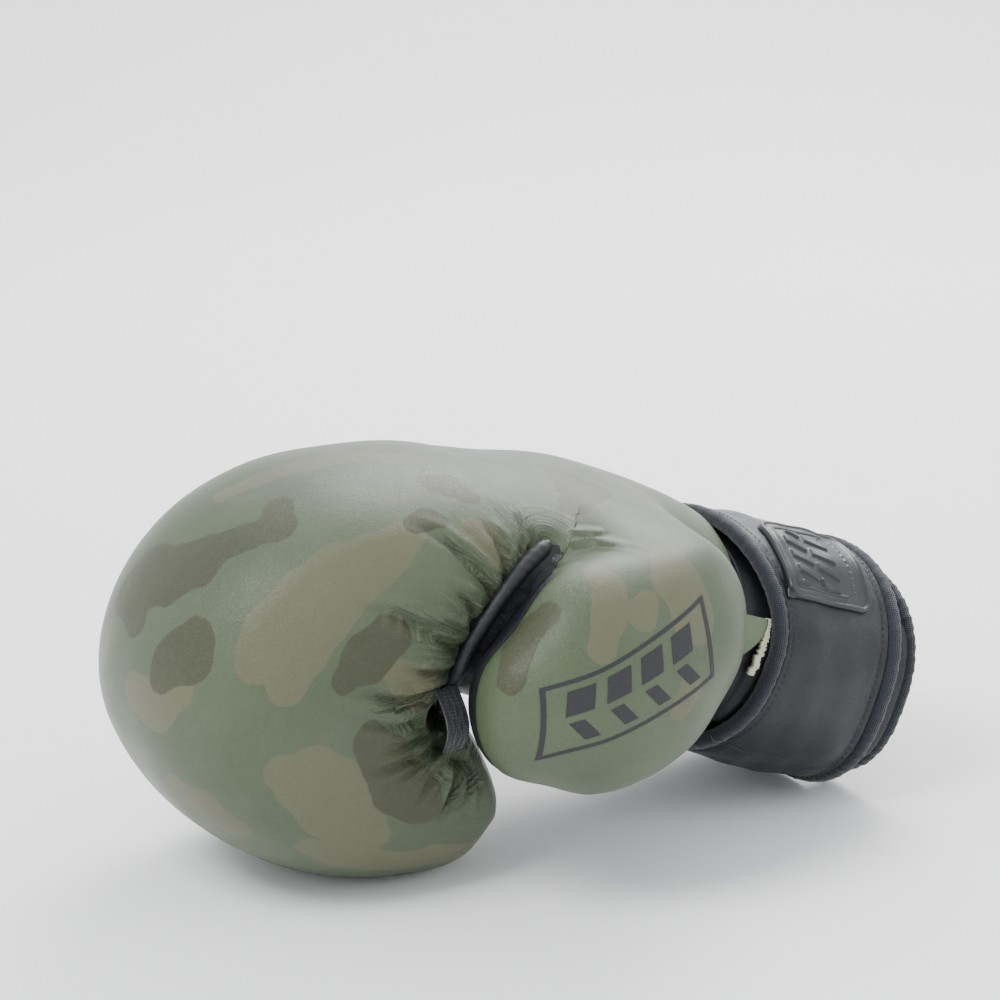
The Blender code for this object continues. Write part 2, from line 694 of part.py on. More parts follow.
def band(name, first, last, edges, lift, thickness, finish):
    """A curved band round the cuff between two angles; edges(angle) gives (front, rear)."""
    angles = band_angles(first, last)
    places = [[(front + (rear - front) * t, a) for a in angles
               for front, rear in [edges(a)]] for t in (0, 0.5, 1)]
    outer = [[cuff_point(s, a, lift + thickness) for s, a in row] for row in places]
    inner = [[cuff_point(s, a, lift) for s, a in row] for row in places]
    return walled(name, outer, inner, finish)


def strap_band(name, first, last, lift, thickness, finish, front_inset=0.0, rear_inset=0.0):
    edges = lambda a: (strap_edge_front(a) + front_inset, STRAP_REAR - rear_inset)
    return band(name, first, last, edges, lift, thickness, finish)


def strap_binding(name, first, last, place):
    angles = band_angles(first, last)
    path = [cuff_point(place(a), a, STRAP_MIDDLE) for a in angles]
    return tube(name, path, BINDING_RADIUS, FABRIC_BLACK)


def build_strap():
    """The strap in three lengths that hinge at the palm and at the thumb side."""
    lengths = {"strap_root": (STRAP_START, PALM_HINGE - HINGE_HALF_GAP),
               "strap_middle": (PALM_HINGE + HINGE_HALF_GAP, THUMB_HINGE - HINGE_HALF_GAP),
               "strap_end": (THUMB_HINGE + HINGE_HALF_GAP, STRAP_END)}
    step = BINDING_RADIUS + GAP
    for name, (first, last) in lengths.items():
        strap_band(name, first, last, STRAP_LIFT, STRAP_THICKNESS, LEATHER_BLACK)
        strap_binding(name + "_front_binding", first, last,
                      lambda a: strap_edge_front(a) - step)
        strap_binding(name + "_rear_binding", first, last, lambda a: STRAP_REAR + step)


def build_tapes_and_patch():
    strap_band("loop_tape", *LOOP_TAPE_SPAN, GAP, TAPE_THICKNESS, FABRIC_BLACK,
               LOOP_TAPE_INSET, LOOP_TAPE_INSET)
    strap_band("hook_tape", HOOK_TAPE_START, STRAP_END - HOOK_TAPE_END_INSET,
               TAPE_THICKNESS + 2 * GAP, TAPE_THICKNESS, FABRIC_BLACK,
               HOOK_TAPE_INSET, HOOK_TAPE_INSET)
    strap_band("strap_patch", *PATCH_SPAN, STRAP_LIFT + STRAP_THICKNESS + GAP, PATCH_THICKNESS,
               RUBBER, PATCH_FRONT_INSET, PATCH_REAR_INSET)


def build_thumb_tab():
    """The cut tail of the thumb's leather, which lies on the wrist behind the thumb."""
    first, last = TAB_SPAN

    def edges(degrees):
        bulge = TAB_BULGE * math.sin(math.pi * (degrees - first) / (last - first))
        return TAB_START, TAB_LENGTH + bulge

    band("thumb_tab", first, last, edges, GAP, LEATHER, LEATHER_CAMO)


def build_thumb_loop():
    """A webbing band that arches over the finger crease, from the end of the piping down."""
    rings = []
    for t in spread(0, 1, 9):
        middle = LOOP_CENTRE + LOOP_ALONG * (t - 0.5) * LOOP_SPAN
        middle = middle - SIDE * LOOP_RISE * math.sin(math.pi * t)
        half = LOOP_ACROSS * LOOP_WIDTH / 2
        over = SIDE * LOOP_THICKNESS
        rings.append([middle - half, middle + half, middle + half - over, middle - half - over])
    swept("thumb_loop", rings, WEBBING)


def hinge(name, point, pieces, parent=None):
    """An empty on a joint's axis, which carries the pieces that turn about it."""
    pivot = bpy.data.objects.new(name, None)
    pivot.empty_display_size = 10 * MM
    place = (point - ORIGIN) * MM
    bpy.context.scene.collection.objects.link(pivot)
    if parent:
        pivot.parent = parent
        pivot.location = place - parent.location
    else:
        pivot.location = place
    for piece in pieces:
        carried = bpy.data.objects[piece]
        carried.parent = pivot
        carried.matrix_parent_inverse = Matrix.Translation(-place)
    return pivot


def add_hinges():
    """The thumb turns on its root; the strap folds back at the palm and at the thumb side."""
    hinge("thumb_hinge", THUMB_PIVOT,
          ["thumb_outer_panel", "thumb_inner_panel", "thumb_outer_foam", "thumb_inner_foam",
           "thumb_lining", "thumb_piping"])
    middle_of_strap = (STRAP_FRONT + STRAP_REAR) / 2
    palm_pivot = hinge("strap_middle_hinge", cuff_point(middle_of_strap, PALM_HINGE, STRAP_OUTSIDE),
                       ["strap_middle", "strap_middle_front_binding",
                        "strap_middle_rear_binding"])
    hinge("strap_end_hinge", cuff_point(middle_of_strap, THUMB_HINGE, STRAP_OUTSIDE),
          ["strap_end", "strap_end_front_binding", "strap_end_rear_binding", "hook_tape",
           "strap_patch"], palm_pivot)


def main():
    clear_scene()
    build_hand()
    build_finger_piping()
    build_grip_bar()
    build_thumb()
    build_thumb_piping()
    open_thumb_hole(["back_panel", "palm_panel", "knuckle_foam_outer", "knuckle_foam_inner",
                     "palm_foam", "hand_lining", "thumb_inner_panel", "thumb_inner_foam",
                     "thumb_lining"])
    build_cuff()
    build_strap()
    build_tapes_and_patch()
    build_thumb_tab()
    build_thumb_loop()
    add_hinges()


main()
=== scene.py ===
"""The looks of a padded camouflage boxing glove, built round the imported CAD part.

The design frame is in millimetres, with the wrist seam's middle above its own x and +X to the
cuff; ORIGIN takes it to the CAD's frame and MM makes it metres.
"""

import math
import random

import bmesh
import bpy
import numpy as np
from mathutils import Matrix, Vector
from mathutils.bvhtree import BVHTree


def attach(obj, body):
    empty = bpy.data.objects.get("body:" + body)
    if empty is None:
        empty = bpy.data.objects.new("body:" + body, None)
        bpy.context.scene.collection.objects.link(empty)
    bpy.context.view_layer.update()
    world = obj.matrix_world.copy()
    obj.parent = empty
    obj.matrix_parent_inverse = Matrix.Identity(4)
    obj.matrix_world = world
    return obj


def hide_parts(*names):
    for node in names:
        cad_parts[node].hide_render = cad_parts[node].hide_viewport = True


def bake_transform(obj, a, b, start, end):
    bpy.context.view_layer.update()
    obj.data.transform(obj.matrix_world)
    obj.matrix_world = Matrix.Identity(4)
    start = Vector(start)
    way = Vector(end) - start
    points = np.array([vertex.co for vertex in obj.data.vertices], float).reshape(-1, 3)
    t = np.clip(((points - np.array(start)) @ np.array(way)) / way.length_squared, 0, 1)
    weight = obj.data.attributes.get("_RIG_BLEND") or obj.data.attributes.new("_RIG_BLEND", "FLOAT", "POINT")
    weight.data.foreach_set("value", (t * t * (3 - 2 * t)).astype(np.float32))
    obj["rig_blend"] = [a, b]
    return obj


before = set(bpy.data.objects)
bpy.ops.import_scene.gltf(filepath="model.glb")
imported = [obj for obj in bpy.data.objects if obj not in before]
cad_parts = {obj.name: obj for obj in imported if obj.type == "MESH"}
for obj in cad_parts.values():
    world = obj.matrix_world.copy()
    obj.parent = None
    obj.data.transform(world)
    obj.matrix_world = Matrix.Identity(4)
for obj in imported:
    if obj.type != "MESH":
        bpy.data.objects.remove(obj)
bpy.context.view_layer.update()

MM = 0.001
ORIGIN = Vector((9.8, -22.2, 0))

# ------------------------------------------------------------------ the glove's own shape
WRIST = Vector((74.5, 0, 65.0))
TILT = math.radians(20.1)
HAND_LENGTH = 110.0
CREASE_DEPTH = 42.5
CREASE_RADIUS = 4.0
FIST_TURN = 224.0
SIDE = Vector((0, 1, 0))
REARWARD = Vector((math.cos(TILT), 0, -math.sin(TILT)))
BACKWARD = Vector((math.sin(TILT), 0, math.cos(TILT)))
CREASE = WRIST - HAND_LENGTH * REARWARD - CREASE_DEPTH * BACKWARD
FINGERTIP_DOME = 15.0

PALM_DEPTH = [(0, 36.5), (8, 40.5), (30, 42), (70, 40.5), (110, 38.5)]
BACK_HEIGHT = [(0, 36.5), (8, 42), (30, 46), (55, 47.5), (70, 47), (90, 43), (110, 40)]
HAND_HALF_WIDTH = [(0, 43.5), (8, 49), (40, 53), (80, 58), (110, 60)]
FIST_RADIUS = [(0, 82.5), (25, 82), (48, 88.5), (70, 96), (90, 100), (108, 99), (127, 90.5),
               (147, 80.5), (168, 72.5), (190, 67.5), (210, 66.5), (224, 62)]
FIST_HALF_WIDTH = [(0, 60), (40, 62), (130, 61), (170, 58), (210, 54), (224, 50)]
LITTLE_SIDE_SEAM = [(0, 128), (100, 130), (160, 120), (224, 84)]

# The finger panel's rolled edge: forward of the wrist or degrees of curl, and degrees round
FINGER_SEAM = [(93, 0, 58), (96, 0, 62), (100, 0, 67), (104, 0, 73), (107, 0, 79),
               (109.5, 0, 85), (0, 3, 91), (0, 8, 97), (0, 13, 104), (0, 16, 112), (0, 18, 121),
               (0, 20, 131), (0, 23, 140)]

# Thumb: forward of the wrist, centre (y, z), half height, half depth, lean in degrees
THUMB_STATIONS = [(19, -63, 96, 18, 15, 24), (30, -68, 94.5, 26, 20, 24),
                  (46, -73, 90, 32, 24, 22), (66, -77, 82.5, 38, 26.5, 18),
                  (88, -79, 75, 36, 26, 10), (106, -78, 71.5, 25, 21, 2)]
THUMB_BASE_DOME = 8.0
THUMB_TIP_DOME = 16.0
PIPING_RADIUS = 2.4

CUFF_LENGTH = 73.0
CUFF_HALF_HEIGHT = [(-73, 37), (-35, 37), (0, 35.5)]
CUFF_HALF_WIDTH = [(-73, 46), (-35, 44.5), (0, 43)]


def smooth(table, x):
    """The value at x of a smooth curve through the rows (x, value) of a table."""
    if x <= table[0][0]:
        return float(table[0][1])
    if x >= table[-1][0]:
        return float(table[-1][1])
    i = max(k for k in range(len(table) - 1) if table[k][0] <= x)
    (x0, v0), (x1, v1) = table[i], table[i + 1]

    def slope(k):
        before, after = table[max(k - 1, 0)], table[min(k + 1, len(table) - 1)]
        return (after[1] - before[1]) / (after[0] - before[0])

    width = x1 - x0
    t = (x - x0) / width
    return (v0 * (2 * t**3 - 3 * t**2 + 1) + v1 * (3 * t**2 - 2 * t**3)
            + width * slope(i) * (t**3 - 2 * t**2 + t) + width * slope(i + 1) * (t**3 - t**2))


def ease(low, high, x):
    """0 below low, 1 above high, and a smooth step between; high may be the smaller one."""
    t = np.clip((x - low) / (high - low), 0, 1)
    return t * t * (3 - 2 * t)


def spread(first, last, count):
    return [first + (last - first) * k / (count - 1) for k in range(count)]


class Section:
    """A rounded outline: a centre, a half axis to the back and a half axis to the side."""

    def __init__(self, centre, up, side, inner_power=2.8, outer_power=2.15):
        self.centre, self.up, self.side = centre, up, side
        self.inner_power, self.outer_power = inner_power, outer_power

    def at(self, degrees):
        c, s = math.cos(math.radians(degrees)), math.sin(math.radians(degrees))
        power = self.outer_power if c >= 0 else self.inner_power
        reach = math.copysign(abs(c) ** (2 / power), c)
        across = math.copysign(abs(s) ** (2 / power), s)
        return self.centre + self.up * reach + self.side * across

    def shrunk(self, moved, share):
        return Section(self.centre + moved, self.up * share, self.side * share,
                       self.inner_power, self.outer_power)


def axis_section(forward, palm, back, half_width):
    middle = WRIST - forward * REARWARD + BACKWARD * (back - palm) / 2
    return Section(middle, BACKWARD * (back + palm) / 2, SIDE * half_width)


def curl_direction(turn):
    angle = math.pi / 2 - TILT + math.radians(turn)
    return Vector((math.cos(angle), 0, math.sin(angle)))


def curl_section(turn, outer, half_width):
    squareness = min(turn / 60, 1)
    direction = curl_direction(turn)
    return Section(CREASE + direction * (CREASE_RADIUS + outer) / 2,
                   direction * (outer - CREASE_RADIUS) / 2, SIDE * half_width,
                   2.8 + 1.6 * squareness, 2.15)


def hand_section(forward):
    return axis_section(forward, smooth(PALM_DEPTH, forward), smooth(BACK_HEIGHT, forward),
                        smooth(HAND_HALF_WIDTH, forward))


def fist_section(turn):
    return curl_section(turn, smooth(FIST_RADIUS, turn), smooth(FIST_HALF_WIDTH, turn))


def hand_half_width(x, z):
    """Half the hand's width at a point of its side view, or 0 outside its outline."""
    point = Vector((x, 0, z))
    from_crease = point - CREASE
    forward = (WRIST - point).dot(REARWARD)
    if from_crease.dot(BACKWARD) > 0 and forward < HAND_LENGTH:
        section = hand_section(forward)
    else:
        angle = math.degrees(math.atan2(from_crease.z, from_crease.x))
        turn = (angle - 90 + math.degrees(TILT)) % 360
        if turn > FIST_TURN + 12:
            return 0.0
        section = fist_section(turn)
    reach = (point - section.centre).dot(section.up) / section.up.length_squared
    if abs(reach) >= 1:
        return 0.0
    power = section.outer_power if reach > 0 else section.inner_power
    return section.side.length * (1 - abs(reach) ** power) ** (1 / power)


def thumb_column(i):
    return [(row[0], row[i]) for row in THUMB_STATIONS]


def thumb_spine(forward):
    return Vector((WRIST.x - forward, smooth(thumb_column(1), forward),
                   smooth(thumb_column(2), forward)))


def thumb_section(forward):
    along = (thumb_spine(forward + 4) - thumb_spine(forward - 4)).normalized()
    lean = math.radians(smooth(thumb_column(5), forward))
    side = (SIDE * math.cos(lean) - Vector((0, 0, math.sin(lean)))).normalized()
    up = side.cross(along).normalized()
    if up.z < 0:
        up.negate()
    return Section(thumb_spine(forward), up * smooth(thumb_column(3), forward),
                   side * smooth(thumb_column(4), forward), 2.3, 2.3), along


def dome(section, push, steps):
    for degrees in steps:
        a = math.radians(degrees)
        yield section.shrunk(push * math.sin(a), math.cos(a))


# ------------------------------------------------------------------ mesh helpers
def to_row(points):
    """Points in millimetres of the design frame, as metres of the CAD's frame."""
    return (np.asarray(points, float).reshape(-1, 3) - np.array(ORIGIN)) * MM


def to_design(points):
    return np.asarray(points, float).reshape(-1, 3) / MM + np.array(ORIGIN)


def mesh_object(name, points, faces, finish=None):
    """A smooth-shaded object from points in millimetres."""
    mesh = bpy.data.meshes.new(name)
    mesh.from_pydata(to_row(points).tolist(), [], faces)
    mesh.shade_smooth()
    if finish is not None:
        mesh.materials.append(finish)
    made = bpy.data.objects.new(name, mesh)
    bpy.context.scene.collection.objects.link(made)
    return made


def grid_faces(rows, columns, closed=False, start=0):
    faces = []
    for k in range(rows - 1):
        for j in range(columns if closed else columns - 1):
            a, b = start + k * columns + j, start + k * columns + (j + 1) % columns
            faces.append((a, b, b + columns, a + columns))
    return faces


def capped_faces(rows, columns):
    """The faces of a closed tube of rings, with a flat cap over each end."""
    first_cap = tuple(range(columns))[::-1]
    last_cap = tuple(range((rows - 1) * columns, rows * columns))
    return grid_faces(rows, columns, closed=True) + [first_cap, last_cap]


def closed_lobe(name, sections, clamp):
    """A closed tube through sections, with a fan over each end."""
    columns = 180
    points = [clamp(s.at(360 * j / columns)) for s in sections for j in range(columns)]
    faces = grid_faces(len(sections), columns, closed=True)
    for first, flip in ((0, True), ((len(sections) - 1) * columns, False)):
        ring = list(range(first, first + columns))
        middle = sum((Vector(points[i]) for i in ring), Vector()) / columns
        points.append(middle)
        for j in range(columns):
            pair = (ring[j], ring[(j + 1) % columns])
            faces.append((*(pair[::-1] if flip else pair), len(points) - 1))
    return mesh_object(name, points, faces)


def coordinates(mesh):
    flat = np.empty(len(mesh.vertices) * 3)
    mesh.vertices.foreach_get("co", flat)
    return flat.reshape(-1, 3)


def normals(mesh):
    flat = np.empty(len(mesh.vertices) * 3)
    mesh.vertices.foreach_get("normal", flat)
    return flat.reshape(-1, 3)


def set_coordinates(mesh, points):
    mesh.vertices.foreach_set("co", points.astype(np.float32).ravel())
    mesh.update()


def edge_pairs(mesh):
    flat = np.empty(len(mesh.edges) * 2, int)
    mesh.edges.foreach_get("vertices", flat)
    return flat.reshape(-1, 2)


def relaxed(points, pairs, weight, rounds):
    """Points moved towards the mean of their neighbours, by weight, a number of times."""
    points = points.copy()
    active = np.flatnonzero(weight > 0.001)
    place = np.full(len(points), -1)
    place[active] = np.arange(len(active))
    own = np.concatenate([pairs[:, 0], pairs[:, 1]])
    other = np.concatenate([pairs[:, 1], pairs[:, 0]])
    near = place[own] >= 0
    own, other = place[own[near]], other[near]
    count = np.bincount(own, minlength=len(active))
    share = 0.6 * weight[active][:, None]
    for _ in range(rounds):
        mean = np.stack([np.bincount(own, points[other, axis], len(active)) / count
                         for axis in range(3)], axis=1)
        points[active] += share * (mean - points[active])
    return points


def drop(*objects):
    for old in objects:
        bpy.data.objects.remove(old)


# ------------------------------------------------------------------ the leather skin
SKIN_VOXEL = 1.15  # mm
ROOT_BRIDGE_END = 78.0  # the leather bridges the thumb and the hand behind this
THUMB_JOIN_END = 80.0  # forward of the wrist, the thumb parts from the hand here
THUMB_GAP = 1.3
THUMB_SUNK = 3.0  # and behind that its root is sunk this far into the hand


def on_table(point):
    return Vector((point.x, point.y, max(point.z, 0)))


def piping_line(lift):
    """The finger panel's seam beside the thumb, from the gusset's top to the crease."""
    line = []
    for forward, turn, degrees in FINGER_SEAM:
        section = fist_section(turn) if turn else hand_section(forward)
        degrees = -degrees
        here = section.at(degrees)
        outward = (section.at(degrees + 2) - section.at(degrees - 2)).cross(
            curl_direction(turn + 90) if turn else -REARWARD).normalized()
        if outward.y > 0:
            outward.negate()
        line.append(here + outward * lift)
    return line


def near_line(line, x, z, reach):
    nearest = 1e9
    here = Vector((x, z))
    for start, end in zip(line, line[1:]):
        a, b = Vector((start.x, start.z)), Vector((end.x, end.z))
        step = b - a
        t = min(max((here - a).dot(step) / step.length_squared, 0), 1)
        nearest = min(nearest, (here - a - step * t).length)
    return math.exp(-((nearest / reach) ** 2))


def beside_hand(point):
    """Keeps the thumb clear of the hand in front, and sinks its root in the hand behind."""
    forward = WRIST.x - point.x
    apart = float(ease(THUMB_JOIN_END - 12, THUMB_JOIN_END + 8, forward))
    room = THUMB_GAP + 2.0 * PIPING_RADIUS * near_line(PIPING, point.x, point.z, 7.5)
    limit = -(hand_half_width(point.x, point.z) + room * apart - THUMB_SUNK * (1 - apart))
    return Vector((point.x, min(point.y, limit), max(point.z, 0)))


def upper_hull(points):
    """The upper side of the convex hull of points (y, z), from the lowest y to the highest."""
    hull = []
    for point in sorted(points):
        while len(hull) > 1:
            (y0, z0), (y1, z1) = hull[-2], hull[-1]
            if (y1 - y0) * (point[1] - z0) - (z1 - z0) * (point[0] - y0) < 0:
                break
            hull.pop()
        hull.append(point)
    return hull


def thumb_root_bridge():
    """The leather drawn from the thumb's top to the back of the hand, in upright slices."""
    rings = []
    for forward in spread(20, ROOT_BRIDGE_END, 30):
        x = WRIST.x - forward
        outline = [thumb_section(forward)[0].at(a) for a in range(-180, 180, 4)]
        floor = thumb_spine(forward).z - 4
        points = [(p.y, p.z) for p in outline if p.z > floor]
        for z in np.arange(floor, WRIST.z + 75, 1.5):
            half = hand_half_width(x, z)
            if half:
                points.append((-half, z))
                points.append((0, z))
        hull = upper_hull(points)
        sunk = 9 * float(ease(ROOT_BRIDGE_END - 24, ROOT_BRIDGE_END, forward))
        ys = spread(hull[0][0] + 0.5 + sunk, 0, 60)
        zs = np.interp(ys, [h[0] for h in hull], [h[1] for h in hull]) - sunk
        top = [Vector((x, y, max(z, floor + 1))) for y, z in zip(ys, zs)]
        rings.append(top + [Vector((x, y, floor)) for y in spread(0, ys[0], 60)])
    columns = len(rings[0])
    faces = grid_faces(len(rings), columns, closed=True)
    last = (len(rings) - 1) * columns
    faces += [tuple(range(columns))[::-1], tuple(range(last, last + columns))]
    return mesh_object("root_bridge", [p for ring in rings for p in ring], faces)


def face_outwards(mesh):
    work = bmesh.new()
    work.from_mesh(mesh)
    if work.calc_volume(signed=True) < 0:
        bmesh.ops.reverse_faces(work, faces=work.faces)
    work.to_mesh(mesh)
    work.free()


def open_wrist(mesh):
    """Cuts the cap off the wrist and turns the leather's edge inwards there."""
    work = bmesh.new()
    work.from_mesh(mesh)
    wrist, rearward = Vector(to_row([WRIST])[0]), REARWARD
    for vert in list(work.verts):
        behind = (vert.co - wrist).dot(rearward) / MM
        if behind > -0.9 and abs(vert.co.y / MM - 22.2) < 50:
            work.verts.remove(vert)
    border = [e for e in work.edges if e.is_boundary]
    rim = bmesh.ops.extrude_edge_only(work, edges=border)["geom"]
    centre = Vector(to_row([WRIST])[0])
    for vert in (g for g in rim if isinstance(g, bmesh.types.BMVert)):
        inward = centre - vert.co
        inward -= rearward * inward.dot(rearward)
        vert.co += inward.normalized() * 1.4 * MM
    work.to_mesh(mesh)
    work.free()


def build_skin():
    """Hand and thumb in one closed skin, faired together over the thumb's root."""
    ends = (15, 30, 45, 58, 70, 80, 87)
    hand = [hand_section(s) for s in spread(0, HAND_LENGTH, 56)]
    hand += [fist_section(t) for t in spread(0, FIST_TURN, 150)[1:]]
    hand += dome(hand[-1], curl_direction(FIST_TURN + 90) * FINGERTIP_DOME, ends)
    lobe = closed_lobe("hand_lobe", hand, on_table)
    thumb = []
    for forward in spread(THUMB_STATIONS[0][0], THUMB_STATIONS[-1][0], 60):
        section, along = thumb_section(forward)
        if not thumb:
            thumb += list(dome(section, -along * THUMB_BASE_DOME, ends))[::-1]
        thumb.append(section)
    thumb += dome(section, along * THUMB_TIP_DOME, ends)
    thumb_lobe = closed_lobe("thumb_lobe", thumb, beside_hand)
    bridge = thumb_root_bridge()
    lobes = {}
    bpy.context.view_layer.update()
    bpy.ops.object.select_all(action="DESELECT")
    for made in (lobe, thumb_lobe, bridge):
        face_outwards(made.data)
        made.select_set(True)
        lobes[made.name] = BVHTree.FromObject(made, bpy.context.evaluated_depsgraph_get())
    bpy.context.view_layer.objects.active = lobe
    bpy.ops.object.join()
    remesh = lobe.modifiers.new("skin", "REMESH")
    remesh.mode = "VOXEL"
    remesh.voxel_size = SKIN_VOXEL * MM
    evaluated = lobe.evaluated_get(bpy.context.evaluated_depsgraph_get())
    mesh = bpy.data.meshes.new_from_object(evaluated)
    drop(lobe)
    skin = bpy.data.objects.new("glove_skin", mesh)
    bpy.context.scene.collection.objects.link(skin)
    points = coordinates(mesh)
    design = to_design(points)
    pairs = edge_pairs(mesh)
    forward = WRIST.x - design[:, 0]
    root = ease(82, 62, forward) * ease(-8, -24, design[:, 1]) * ease(58, 74, design[:, 2])
    points = relaxed(points, pairs, root, 90)
    tip = ease(84, 100, forward) * (design[:, 1] < -50)
    points = relaxed(points, pairs, tip, 120)
    points = relaxed(points, pairs, np.full(len(points), 0.5), 6)
    set_coordinates(mesh, points)
    open_wrist(mesh)
    mesh.shade_smooth()
    return skin, lobes


PIPING = piping_line(0)

# ------------------------------------------------------------------ folds and colours of the skin
# Valleys that the leather gathers into, outer end first: points in millimetres
FOLDS = [
    (2.0, 2.0, [(-30, -47, 130), (-25, -52, 125), (-24, -55, 119), (-23, -58, 114),
                (-24, -59, 111)]),
    (2.3, 2.2, [(-54, -48, 132), (-48, -51, 129), (-43, -54, 125), (-38, -57, 119),
                (-34, -59, 114), (-30, -60, 107)]),
    (1.9, 1.8, [(-45, -60, 110), (-41, -60, 107), (-38, -60, 103), (-38, -60, 98)]),
    (2.2, 2.3, [(-84, -57, 115), (-76, -60, 109), (-66, -62, 105), (-56, -62, 98),
                (-43, -60, 89)]),
    (1.1, 1.5, [(-57, -62, 103), (-50, -61, 100), (-42, -60, 96)]),
    (0.9, 1.3, [(-13, -33, 134), (-13, -41, 130), (-13, -46, 126), (-14, -51, 122),
                (-16, -54, 119)]),
    (0.8, 1.2, [(-10, -34, 133), (-10, -42, 129), (-11, -48, 125), (-12, -52, 121),
                (-14, -54, 118)]),
    (0.7, 1.2, [(-7, -39, 130), (-8, -46, 125), (-10, -51, 121), (-12, -53, 119)]),
    (1.4, 1.6, [(-66, -62, 88), (-57, -61, 84), (-44, -57, 80)]),
    (2.2, 2.1, [(-91, -62, 85), (-84, -62, 83), (-73, -62, 78), (-64, -60, 75), (-44, -55, 74)]),
    (1.3, 1.4, [(-73, -61, 75), (-63, -60, 72), (-44, -54, 70)]),
    (2.0, 1.8, [(-86, -62, 72), (-77, -61, 70), (-66, -60, 66), (-44, -52, 66)]),
    (1.3, 1.5, [(-77, -61, 66), (-65, -59, 63), (-44, -50, 62)]),
    (1.7, 1.8, [(-74, -61, 60), (-61, -58, 59), (-44, -49, 59)]),
    (2.2, 2.0, [(-82, -61, 53), (-70, -60, 52), (-59, -58, 53), (-44, -48, 55)]),
    (1.6, 1.7, [(-74, -60, 47), (-65, -59, 48), (-55, -56, 50), (-44, -50, 53)]),
    (1.4, 1.7, [(-61, -58, 35), (-54, -57, 42), (-44, -52, 49)]),
    (2.2, 2.0, [(-51, -56, 26), (-45, -55, 34), (-41, -53, 43), (-39, -50, 48)]),
    (1.4, 1.5, [(-51, -56, 36), (-47, -55, 42), (-41, -51, 49)]),
    (1.6, 1.7, [(-37, -53, 30), (-35, -51, 40), (-37, -50, 47)]),
    (1.2, 1.4, [(-31, -51, 26), (-30, -50, 35), (-32, -49, 42), (-35, -49, 47)]),
    (0.9, 1.2, [(-38, -60, 108), (-34, -60, 105), (-32, -61, 100)]),
    (0.9, 1.2, [(-34, -59, 113), (-31, -60, 109), (-29, -61, 103)]),
    (1.0, 1.3, [(20, -74, 118), (14, -66, 119), (9, -58, 119), (3, -54, 118)]),
    (0.8, 1.2, [(16, -58, 121), (11, -54, 121), (6, -50, 121)]),
]

# Blotches of the camouflage, and one painted highlight among the tan runs: runs of (x, y, z, radius) in
# millimetres
OLIVE = [
    [(-92, -23, 136, 4.6), (-96, -29, 132, 4.6), (-105, -26, 129, 3.6), (-112, -22, 126, 4.8),
     (-120, -18, 120, 8), (-126, -10, 115, 10), (-130, 4, 110, 11), (-134, 11, 104, 7),
     (-137, -4, 99, 4)],
    [(-128, -35, 100, 5), (-131, -34, 95, 8), (-136, -28, 90, 6.5), (-137, -26, 85, 4)],
    [(-40, -29, 140, 2), (-35, -32, 139, 4.4), (-29, -38, 136, 3)],
    [(18, -20, 132, 5), (19, -31, 129, 6), (25, -29, 129, 4.5), (12, -39, 127, 3.5)],
    [(-54, -48, 132, 1.8), (-48, -46, 132, 2.4), (-45, -48, 132, 1.8)],
    [(-71, -62, 99, 6), (-79, -62, 93, 7), (-86, -62, 87, 4)],
    [(-24, -84, 106, 3.5), (-29, -82, 101, 4), (-34, -83, 96, 4.6), (-40, -89, 88, 3.4)],
    [(-77, -61, 63, 6), (-66, -60, 46, 9), (-57, -58, 38, 7)],
]
# Tan blotches of the camouflage; the third run is a painted highlight, the sheen along the top ridge, laid
# on in the same tan.
KHAKI_AND_SHEEN = [
    [(-58, -51, 129, 4.6), (-72, -54, 124, 8), (-85, -54, 119, 10), (-95, -55, 112, 12),
     (-104, -55, 103, 13), (-112, -54, 98, 8), (-116, -52, 93, 3.6)],
    [(-104, -58, 95, 7), (-107, -58, 87, 5)],
    # Painted highlight: the satin sheen along the top ridge, drawn as a tan strip.
    [(-100, 4, 135, 2.6), (-88, 1, 140, 3.6), (-72, -1, 144, 3.6), (-53, -4, 144, 3.2),
     (-36, -11, 144, 3)],
    [(-108, -58, 56, 5), (-98, -60, 52, 11), (-89, -60, 43, 13), (-82, -59, 34, 9),
     (-75, -57, 27, 4.4)],
    [(-135, -33, 83, 6), (-140, -24, 75, 7), (-142, -12, 77, 5)],
    [(-132, -25, 46, 3), (-126, -32, 40, 6), (-118, -37, 32, 5)],
    [(-96, -52, 26, 2.6), (-85, -51, 20, 4), (-73, -52, 17, 4), (-51, -50, 13, 4),
     (-33, -46, 12, 4)],
    [(-3, -81, 117, 3), (-2, -88, 113, 4.4), (-6, -95, 105, 3.8), (-11, -100, 97, 3.6)],
    [(26, -78, 118, 4.6), (25, -88, 112, 8), (27, -95, 101, 8)],
    [(6, -95, 105, 4), (10, -93, 108, 3)],
    [(-34, -50, 128, 2.6), (-30, -52, 125, 3.4), (-27, -56, 118, 2.6)],
    [(38, -12, 128, 2.6), (48, -15, 123, 3.6), (50, -32, 120, 4)],
    [(21, -103, 79, 3), (16, -105, 74, 2.4)],
    [(-68, -62, 86, 4), (-57, -59, 78, 6)],
]


def run_distance(points, run):
    """Distance from each point to a run of rounded links; negative inside its radius."""
    best = np.full(len(points), 1e3)
    for (x0, y0, z0, r0), (x1, y1, z1, r1) in zip(run, run[1:]):
        a, b = np.array((x0, y0, z0), float), np.array((x1, y1, z1), float)
        step = b - a
        t = np.clip((points - a) @ step / (step @ step), 0, 1)
        away = np.linalg.norm(points - a - t[:, None] * step, axis=1) - (r0 + (r1 - r0) * t)
        h = np.clip(0.5 + 0.5 * (best - away) / BLOTCH_BLEND, 0, 1)
        best = best * (1 - h) + away * h - BLOTCH_BLEND * h * (1 - h)
    return best


